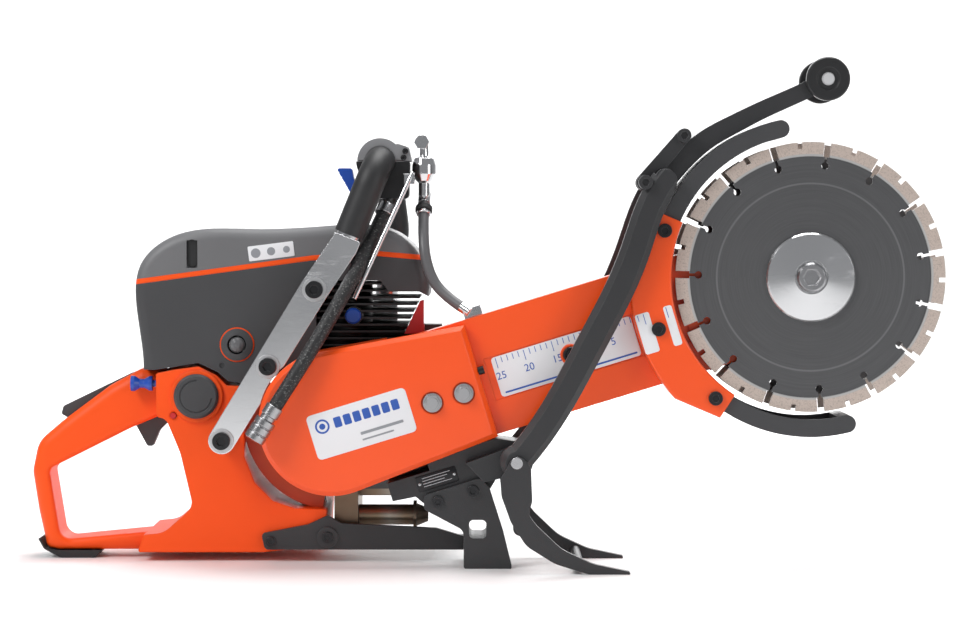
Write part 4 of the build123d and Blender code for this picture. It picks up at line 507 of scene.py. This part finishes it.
def ease_top(bm, rim):
    if rim:
        top_z = max(v.co.z for v in bm.verts)
        edges = [e for e in bm.edges if all(abs(v.co.z - top_z) < 1e-7 for v in e.verts) and len(e.link_faces) == 2
                 and any(abs(f.normal.z) < 0.5 for f in e.link_faces)]
        bmesh.ops.bevel(bm, geom=edges, offset=rim, segments=2, profile=0.5, affect="EDGES", material=-1)


def disc(radius, thick, segments=48, rim=0.0):
    bm = bmesh.new()
    bmesh.ops.create_circle(bm, cap_ends=True, radius=radius, segments=segments)
    thicken(bm, thick)
    ease_top(bm, rim)
    return bm


def turned(profile, segments=64):
    """A profile of (radius, height) spun round z into a closed ring or body."""
    bm = bmesh.new()
    verts = [bm.verts.new((r, 0, h)) for r, h in profile]
    edges = [bm.edges.new(pair) for pair in zip(verts, verts[1:] + verts[:1])]
    bmesh.ops.spin(bm, geom=verts + edges, cent=(0, 0, 0), axis=(0, 0, 1), dvec=(0, 0, 0), angle=math.tau,
                   steps=segments, use_merge=True, use_duplicate=False)
    bmesh.ops.remove_doubles(bm, verts=bm.verts, dist=1e-7)
    bmesh.ops.recalc_face_normals(bm, faces=bm.faces)
    return bm


def placed(bm, matrix):
    bmesh.ops.transform(bm, matrix=matrix, verts=bm.verts)
    return bm


def joined(*parts):
    """One bmesh holding all the given ones."""
    whole = parts[0]
    for part in parts[1:]:
        mesh = bpy.data.meshes.new("joining")
        part.to_mesh(mesh)
        part.free()
        whole.from_mesh(mesh)
        bpy.data.meshes.remove(mesh)
    return whole


def piece(name, bm, finish_name, body="root", replaces=(), smooth=True):
    mesh = bpy.data.meshes.new(name)
    bm.to_mesh(mesh)
    bm.free()
    obj = bpy.data.objects.new(name, mesh)
    bpy.context.scene.collection.objects.link(obj)
    if smooth:
        mesh.shade_smooth()
        mesh.set_sharp_from_angle(angle=math.radians(35))
    mesh.materials.append(FINISH[finish_name])
    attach(obj, body)
    if replaces:
        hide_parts(*replaces)
    return obj


def written(text, size, thick, centre):
    """Plain figures as a mesh, centred on a point of the local plane."""
    curve = bpy.data.curves.new("figures", "FONT")
    curve.body = text
    curve.size = size
    curve.extrude = thick / 2
    curve.align_x = "CENTER"
    curve.align_y = "CENTER"
    holder = bpy.data.objects.new("figures", curve)
    mesh = bpy.data.meshes.new_from_object(holder)
    bm = bmesh.new()
    bm.from_mesh(mesh)
    bmesh.ops.remove_doubles(bm, verts=bm.verts, dist=1e-7)
    bpy.data.objects.remove(holder)
    bpy.data.curves.remove(curve)
    bpy.data.meshes.remove(mesh)
    return placed(bm, Matrix.Translation((centre[0], centre[1], thick / 2)))


def hose(name, route, diameter, finish_name, replaced):
    """A hose on one smooth line with the route's points as its control points."""
    curve = bpy.data.curves.new(name, "CURVE")
    curve.dimensions = "3D"
    curve.bevel_depth = diameter / 2
    curve.bevel_resolution = 8
    curve.use_fill_caps = True
    curve.resolution_u = 24
    line = curve.splines.new("NURBS")
    line.points.add(len(route) - 1)
    for point, (x, y, z) in zip(line.points, route):
        point.co = (x / 1000, y / 1000, z / 1000, 1)
    line.order_u = 3
    line.use_endpoint_u = True
    line.use_smooth = True
    obj = bpy.data.objects.new(name, curve)
    bpy.context.scene.collection.objects.link(obj)
    curve.materials.append(FINISH[finish_name])
    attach(obj, "root")
    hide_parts(replaced)
    centreline = curve_points(obj)
    return obj


def curve_points(obj):
    """Points along the curve's own smooth line."""
    bare = obj.data.copy()
    bare.bevel_depth = 0
    holder = bpy.data.objects.new("line", bare)
    mesh = bpy.data.meshes.new_from_object(holder)
    points = [v.co.copy() for v in mesh.vertices]
    bpy.data.objects.remove(holder)
    bpy.data.meshes.remove(mesh)
    bpy.data.curves.remove(bare)
    return points


# ------------------------------------------------------------------ operators
class SAW_OT_stage(bpy.types.Operator):
    """Pale floor and backdrop, soft lights and the camera"""
    bl_idname = "saw.stage"
    bl_label = "Stage"

    def execute(self, context):
        scene = context.scene
        scene.view_settings.view_transform = "Standard"
        bm = bmesh.new()
        verts = [bm.verts.new((-6, y, z)) for y, z in
                 [(-4, 0), (2.2, 0)] + [(2.2 + math.sin(a) * 1.2, 1.2 - math.cos(a) * 1.2)
                                        for a in (0.2, 0.4, 0.6, 0.8, 1.0, 1.2, 1.4, 1.5708)] + [(3.4, 5)]]
        edges = [bm.edges.new(pair) for pair in zip(verts, verts[1:])]
        swept = bmesh.ops.extrude_edge_only(bm, edges=edges)
        far = [v for v in swept["geom"] if isinstance(v, bmesh.types.BMVert)]
        bmesh.ops.translate(bm, vec=(12, 0, 0), verts=far)
        bmesh.ops.recalc_face_normals(bm, faces=bm.faces)
        mesh = bpy.data.meshes.new("studio_floor")
        bm.to_mesh(mesh)
        bm.free()
        mesh.shade_smooth()
        floor = bpy.data.objects.new("studio_floor", mesh)
        scene.collection.objects.link(floor)
        mesh.materials.append(finish("pale studio floor", (0.90, 0.90, 0.90), 0.6, grain=200, bump=0.02, edge=1.0,
                                     blotch=0.01, scuff=0.0, round_edges=0))
        world = bpy.data.worlds.new("studio")
        world.use_nodes = True
        world.node_tree.nodes["Background"].inputs["Color"].default_value = (0.95, 0.97, 1.0, 1)
        world.node_tree.nodes["Background"].inputs["Strength"].default_value = 0.30
        scene.world = world
        self.area("key_softbox", (-1.5, -1.3, 1.7), (0, 0, 0.2), 1.0, 30)
        self.area("fill_softbox", (1.9, -1.7, 0.7), (0, 0, 0.2), 0.9, 9)
        self.area("top_softbox", (0.2, 0.2, 1.9), (0, 0, 0.2), 1.3, 30)
        self.area("back_softbox", (0.4, 1.9, 1.3), (0, 0, 0.3), 1.2, 16)
        self.area("backdrop_glow", (0.0, 1.2, 1.6), (0, 3.2, 0.8), 1.6, 60)
        lens = bpy.data.cameras.new("camera")
        lens.lens = 87.2
        lens.clip_start = 0.05
        camera = bpy.data.objects.new("camera", lens)
        camera.location = (0.0, -2.072, 0.290)
        camera.rotation_euler = (math.radians(90 - 2.216), 0, 0)
        scene.collection.objects.link(camera)
        scene.camera = camera
        return {"FINISHED"}

    def area(self, name, place, target, size, power):
        light = bpy.data.lights.new(name, "AREA")
        light.shape = "DISK"
        light.size = size
        light.energy = power
        lamp = bpy.data.objects.new(name, light)
        lamp.location = place
        lamp.rotation_euler = (Vector(target) - Vector(place)).to_track_quat("-Z", "Y").to_euler()
        bpy.context.scene.collection.objects.link(lamp)


class SAW_OT_finishes(bpy.types.Operator):
    """Builds every finish and puts it on the CAD nodes"""
    bl_idname = "saw.finishes"
    bl_label = "Finishes"

    def execute(self, context):
        FINISH.update(build_materials())
        for finish_name, names in NODE_FINISH.items():
            for name in names:
                slots = NODES[name].material_slots
                if not slots:
                    NODES[name].data.materials.append(FINISH[finish_name])
                for material_slot in slots:
                    material_slot.material = FINISH[finish_name]
        return {"FINISHED"}


class SAW_OT_hoses(bpy.types.Operator):
    """The braided inlet hose and the outlet hose to the arm"""
    bl_idname = "saw.hoses"
    bl_label = "Hoses"

    def execute(self, context):
        s = sizes()
        hose("braided_inlet_hose", INLET_ROUTE, s.inlet_hose, "braid", "inlet_hose")
        hose("grey_outlet_hose", OUTLET_ROUTE, s.outlet_hose, "grey_hose", "outlet_hose")
        return {"FINISHED"}


class SAW_OT_plates(bpy.types.Operator):
    """Cover label, depth scale, rating plate and icon plate with generic marks"""
    bl_idname = "saw.plates"
    bl_label = "Plates"

    def execute(self, context):
        ink = sizes().print_height
        self.cover_label(ink)
        self.depth_scale(ink)
        self.rating_plate(ink)
        self.icon_plate(ink)
        return {"FINISHED"}

    def cover_label(self, ink):
        face = arm_plane(COVER_FACE_Y)
        white = plate(-0.019, 0.069, -0.027, 0.012, 0.004, 0.0004, 0.0001)
        piece("cover_label", placed(white, face), "label_white", replaces=["label_plates"])
        lifted = arm_plane(COVER_FACE_Y - 0.0004)
        ring = turned([(0.0046, 0), (0.0062, 0), (0.0062, ink), (0.0046, ink)], 40)
        emblem = joined(placed(ring, Matrix.Translation((-0.0075, 0.0, 0))),
                        placed(disc(0.0026, ink, 32), Matrix.Translation((-0.0075, 0.0, 0))))
        bars = [plate(0.003 + 0.0085 * k, 0.0095 + 0.0085 * k, -0.0045, 0.0045, 0.0012, ink) for k in range(7)]
        piece("cover_label_marks", placed(joined(emblem, *bars), lifted), "ink_blue")
        lines = [plate(0.022, 0.060, -0.0165, -0.0140, 0.0008, ink), plate(0.022, 0.050, -0.0215, -0.0200, 0.0007, ink)]
        piece("cover_label_lines", placed(joined(*lines), lifted), "ink_grey")

    def depth_scale(self, ink):
        face = arm_plane(ARM_FACE_Y + 0.0010)
        white = plate(0.146, 0.271, -0.022, 0.013, 0.003, 0.0008, 0.0001)
        piece("depth_scale", placed(white, face), "label_white")
        lifted = arm_plane(ARM_FACE_Y + 0.0002)
        marks = []
        for k in range(25):
            u = 0.150 + 0.005 * k
            reach = 0.009 if k % 5 == 0 else 0.005
            marks.append(plate(u - 0.0003, u + 0.0003, 0.012 - reach, 0.012, 0, ink))
        for k in range(5):
            marks.append(written(str(25 - 5 * k), 0.009, ink, (0.151 + 0.025 * k, -0.004)))
        marks.append(plate(0.150, 0.268, -0.0195, -0.0180, 0.0005, ink))
        self.crescent_scale(ink)
        piece("depth_scale_marks", placed(joined(*marks), lifted), "ink_blue", smooth=False)

    def crescent_scale(self, ink):
        """The scale's end, stuck on the crescent guard in line with the plate on the arm."""
        white = plate(0.2735, 0.2860, -0.022, 0.013, 0.002, 0.0003, 0.0001)
        more = plate(0.2985, 0.3060, -0.022, 0.013, 0.002, 0.0003, 0.0001)
        piece("guard_scale", placed(joined(white, more), arm_plane(GUARD_FACE_PLATE_Y)), "label_white")
        lifted = arm_plane(GUARD_FACE_PLATE_Y - 0.0003)
        places = (0.276, 0.281, 0.301)
        marks = [plate(u - 0.0003, u + 0.0003, 0.003 if k else 0.007, 0.012, 0, ink) for k, u in enumerate(places)]
        piece("guard_scale_marks", placed(joined(*marks), lifted), "ink_blue", smooth=False)

    def rating_plate(self, ink):
        face = RATING_PLATE_FRAME
        black = plate(-0.018, 0.018, -0.0068, 0.0068, 0.0015, 0.0005, 0.0001)
        piece("rating_plate", placed(black, face), "label_black")
        lifted = face @ Matrix.Translation((0, 0, 0.0005))
        lines = [plate(-0.0125, 0.0125 - 0.003 * (k % 3), 0.0038 - 0.0024 * k, 0.0043 - 0.0024 * k, 0, ink)
                 for k in range(4)]
        piece("rating_plate_lines", placed(joined(*lines), lifted), "ink_pale")
        rivets = [placed(disc(0.0014, 0.0008, 20, 0.0003), Matrix.Translation((x, 0, 0))) for x in (-0.0155, 0.0155)]
        piece("rating_plate_rivets", placed(joined(*rivets), lifted), "bright_steel")

    def icon_plate(self, ink):
        turn = math.degrees(math.atan2(5, 40))
        face = side_plane(-0.182, 0.2715, COVERS_FACE_Y - 0.00005, turn)
        white = plate(-0.0200, 0.0200, -0.0065, 0.0065, 0.001, 0.00045, 0.0001)
        piece("icon_plate", placed(white, face), "label_white")
        lifted = side_plane(-0.182, 0.2715, COVERS_FACE_Y - 0.0005, turn)
        marks = []
        for k, x in enumerate((-0.0135, 0.0, 0.0135)):
            marks.append(placed(disc(0.0042 - 0.0006 * k, ink), Matrix.Translation((x, 0, 0))))
        piece("icon_marks", placed(joined(*marks), lifted), "ink_grey")


class SAW_OT_hose_rings(bpy.types.Operator):
    """Ferrules and rings where the hoses meet their fittings"""
    bl_idname = "saw.hose_rings"
    bl_label = "Hose Rings"

    def execute(self, context):
        s = sizes()
        self.ring("outlet_black_ring", OUTLET_ROUTE[0], OUTLET_ROUTE[1], 0.004, s.outlet_hose / 2, 0.0075, 0.005,
                  "rubber")
        self.ring("outlet_chrome_ring", OUTLET_ROUTE[0], OUTLET_ROUTE[1], 0.0095, s.outlet_hose / 2, 0.0062, 0.003,
                  "chrome")
        self.ring("inlet_top_ferrule", INLET_ROUTE[0], INLET_ROUTE[1], 0.002, s.inlet_hose / 2, 0.0082, 0.010, "nickel")
        return {"FINISHED"}

    def ring(self, name, start, towards, along, inner, outer, width, finish_name):
        a, b = Vector(start) / 1000, Vector(towards) / 1000
        place = plane_along(a + (b - a).normalized() * along, b - a)
        ease = 0.0006
        profile = [(inner, 0), (outer - ease, 0), (outer, ease), (outer, width - ease), (outer - ease, width),
                   (inner, width)]
        piece(name, placed(turned(profile), place), finish_name)


class SAW_OT_cradle(bpy.types.Operator):
    """The tank's orange wall that curves behind the belt cover, in darker orange as painted shade"""
    bl_idname = "saw.cradle"
    bl_label = "Cradle"

    def execute(self, context):
        inner, outer, depth = 0.0475, 0.0815, 0.004
        first, last = math.radians(152), math.radians(262)
        bm = bmesh.new()
        corners = [bm.verts.new((radius, 0, height)) for radius, height in
                   ((inner, 0), (outer, 0), (outer, depth), (inner, depth))]
        face = bm.faces.new(corners)
        bmesh.ops.rotate(bm, verts=bm.verts, cent=(0, 0, 0), matrix=Matrix.Rotation(first, 3, "Z"))
        bmesh.ops.spin(bm, geom=[face], cent=(0, 0, 0), axis=(0, 0, 1), angle=last - first, steps=40)
        bmesh.ops.remove_doubles(bm, verts=bm.verts, dist=1e-7)
        bmesh.ops.recalc_face_normals(bm, faces=bm.faces)
        # the wall takes the darkened orange: painted shade where the belt cover shadows it
        piece("cradle_wall", placed(bm, side_plane(DRIVE.x, DRIVE.z, CRADLE_Y)), "orange_painted_shade")
        return {"FINISHED"}


class SAW_OT_small_rings(bpy.types.Operator):
    """Rings, bolts and bosses that dress the saw's near side"""
    bl_idname = "saw.small_rings"
    bl_label = "Rings and Bolts"

    def execute(self, context):
        bolt = turned([(0, 0), (0.0068, 0), (0.0068, 0.0030), (0.0060, 0.0038), (0.0034, 0.0038), (0.0030, 0.0018),
                       (0, 0.0018)], 48)
        collar = turned([(0.0068, 0), (0.0092, 0), (0.0092, 0.0010), (0.0086, 0.0016), (0.0068, 0.0016)], 48)
        spot = arm_plane(ARM_FACE_Y + 0.0002) @ Matrix.Translation((0.213, -0.004, 0))
        piece("arm_bolt", placed(bolt, spot), "screw_steel")
        piece("arm_bolt_collar", placed(collar, spot), "orange_paint")
        for k, (u, v) in enumerate(ARM_STUDS):
            x, z = arm_point(u, v)
            # dark orange ring on the recess floor round each stud nut: painted shade in the recess
            ring = turned([(0.0083, 0), (0.0094, 0), (0.0094, 0.0003), (0.0083, 0.0003)], 48)
            piece(f"stud_painted_shade_ring_{k + 1}", placed(ring, side_plane(x, z, COVER_FACE_Y + 0.0014)), "orange_painted_shade")
        low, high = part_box("blade_flanges")
        ring = turned([(0.0102, 0), (0.0126, 0), (0.0126, 0.0006), (0.0118, 0.0010), (0.0102, 0.0010)], 48)
        piece("spindle_washer", placed(ring, side_plane(BLADE_AXIS.x, BLADE_AXIS.z, low.y)), "rubber", body="blades")
        low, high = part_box("purge_ring")
        purge = (low + high) / 2
        ring = turned([(0.0136, 0), (0.0152, 0), (0.0152, 0.0006), (0.0148, 0.0010), (0.0136, 0.0010)], 56)
        piece("purge_surround", placed(ring, side_plane(purge.x, purge.z, COVERS_FACE_Y + 0.0001)), "orange_plastic")
        return {"FINISHED"}


class SAW_OT_cover_slot(bpy.types.Operator):
    """Black back of the top cover's round-topped slot, a sheet of painted shade for the dark inside"""
    bl_idname = "saw.cover_slot"
    bl_label = "Cover Slot"

    def execute(self, context):
        back = plate(-0.0046, 0.0046, -0.0118, 0.0160, 0.0045, 0.0004)
        # black rubber sheet behind the slot: painted shade where the slot opens into the cover
        piece("slot_painted_shade_back", placed(back, side_plane(-0.251, 0.269, COVERS_FACE_Y + 0.0034)), "rubber")
        return {"FINISHED"}


OPERATORS = (SAW_OT_finishes, SAW_OT_stage, SAW_OT_hoses, SAW_OT_plates, SAW_OT_hose_rings, SAW_OT_cradle,
             SAW_OT_small_rings, SAW_OT_cover_slot)


class SAW_PT_panel(bpy.types.Panel):
    """Lists the saw's sizes, colours and building steps"""
    bl_idname = "SAW_PT_panel"
    bl_label = "Rescue Saw"
    bl_space_type = "VIEW_3D"
    bl_region_type = "UI"
    bl_category = "Rescue Saw"

    def draw(self, context):
        for settings in (sizes(), colours()):
            for name in settings.__annotations__:
                self.layout.prop(settings, name)
        for operator in OPERATORS:
            self.layout.operator(operator.bl_idname)


CLASSES = (SawSizes, SawColours) + OPERATORS + (SAW_PT_panel,)


def register():
    for cls in CLASSES:
        bpy.utils.register_class(cls)
    bpy.types.Scene.saw_sizes = PointerProperty(type=SawSizes)
    bpy.types.Scene.saw_colours = PointerProperty(type=SawColours)


def unregister():
    del bpy.types.Scene.saw_colours
    del bpy.types.Scene.saw_sizes
    for cls in reversed(CLASSES):
        bpy.utils.unregister_class(cls)


def main():
    register()
    for operator in OPERATORS:
        family, action = operator.bl_idname.split(".")
        getattr(getattr(bpy.ops, family), action)()


if __name__ == "__main__":
    main()
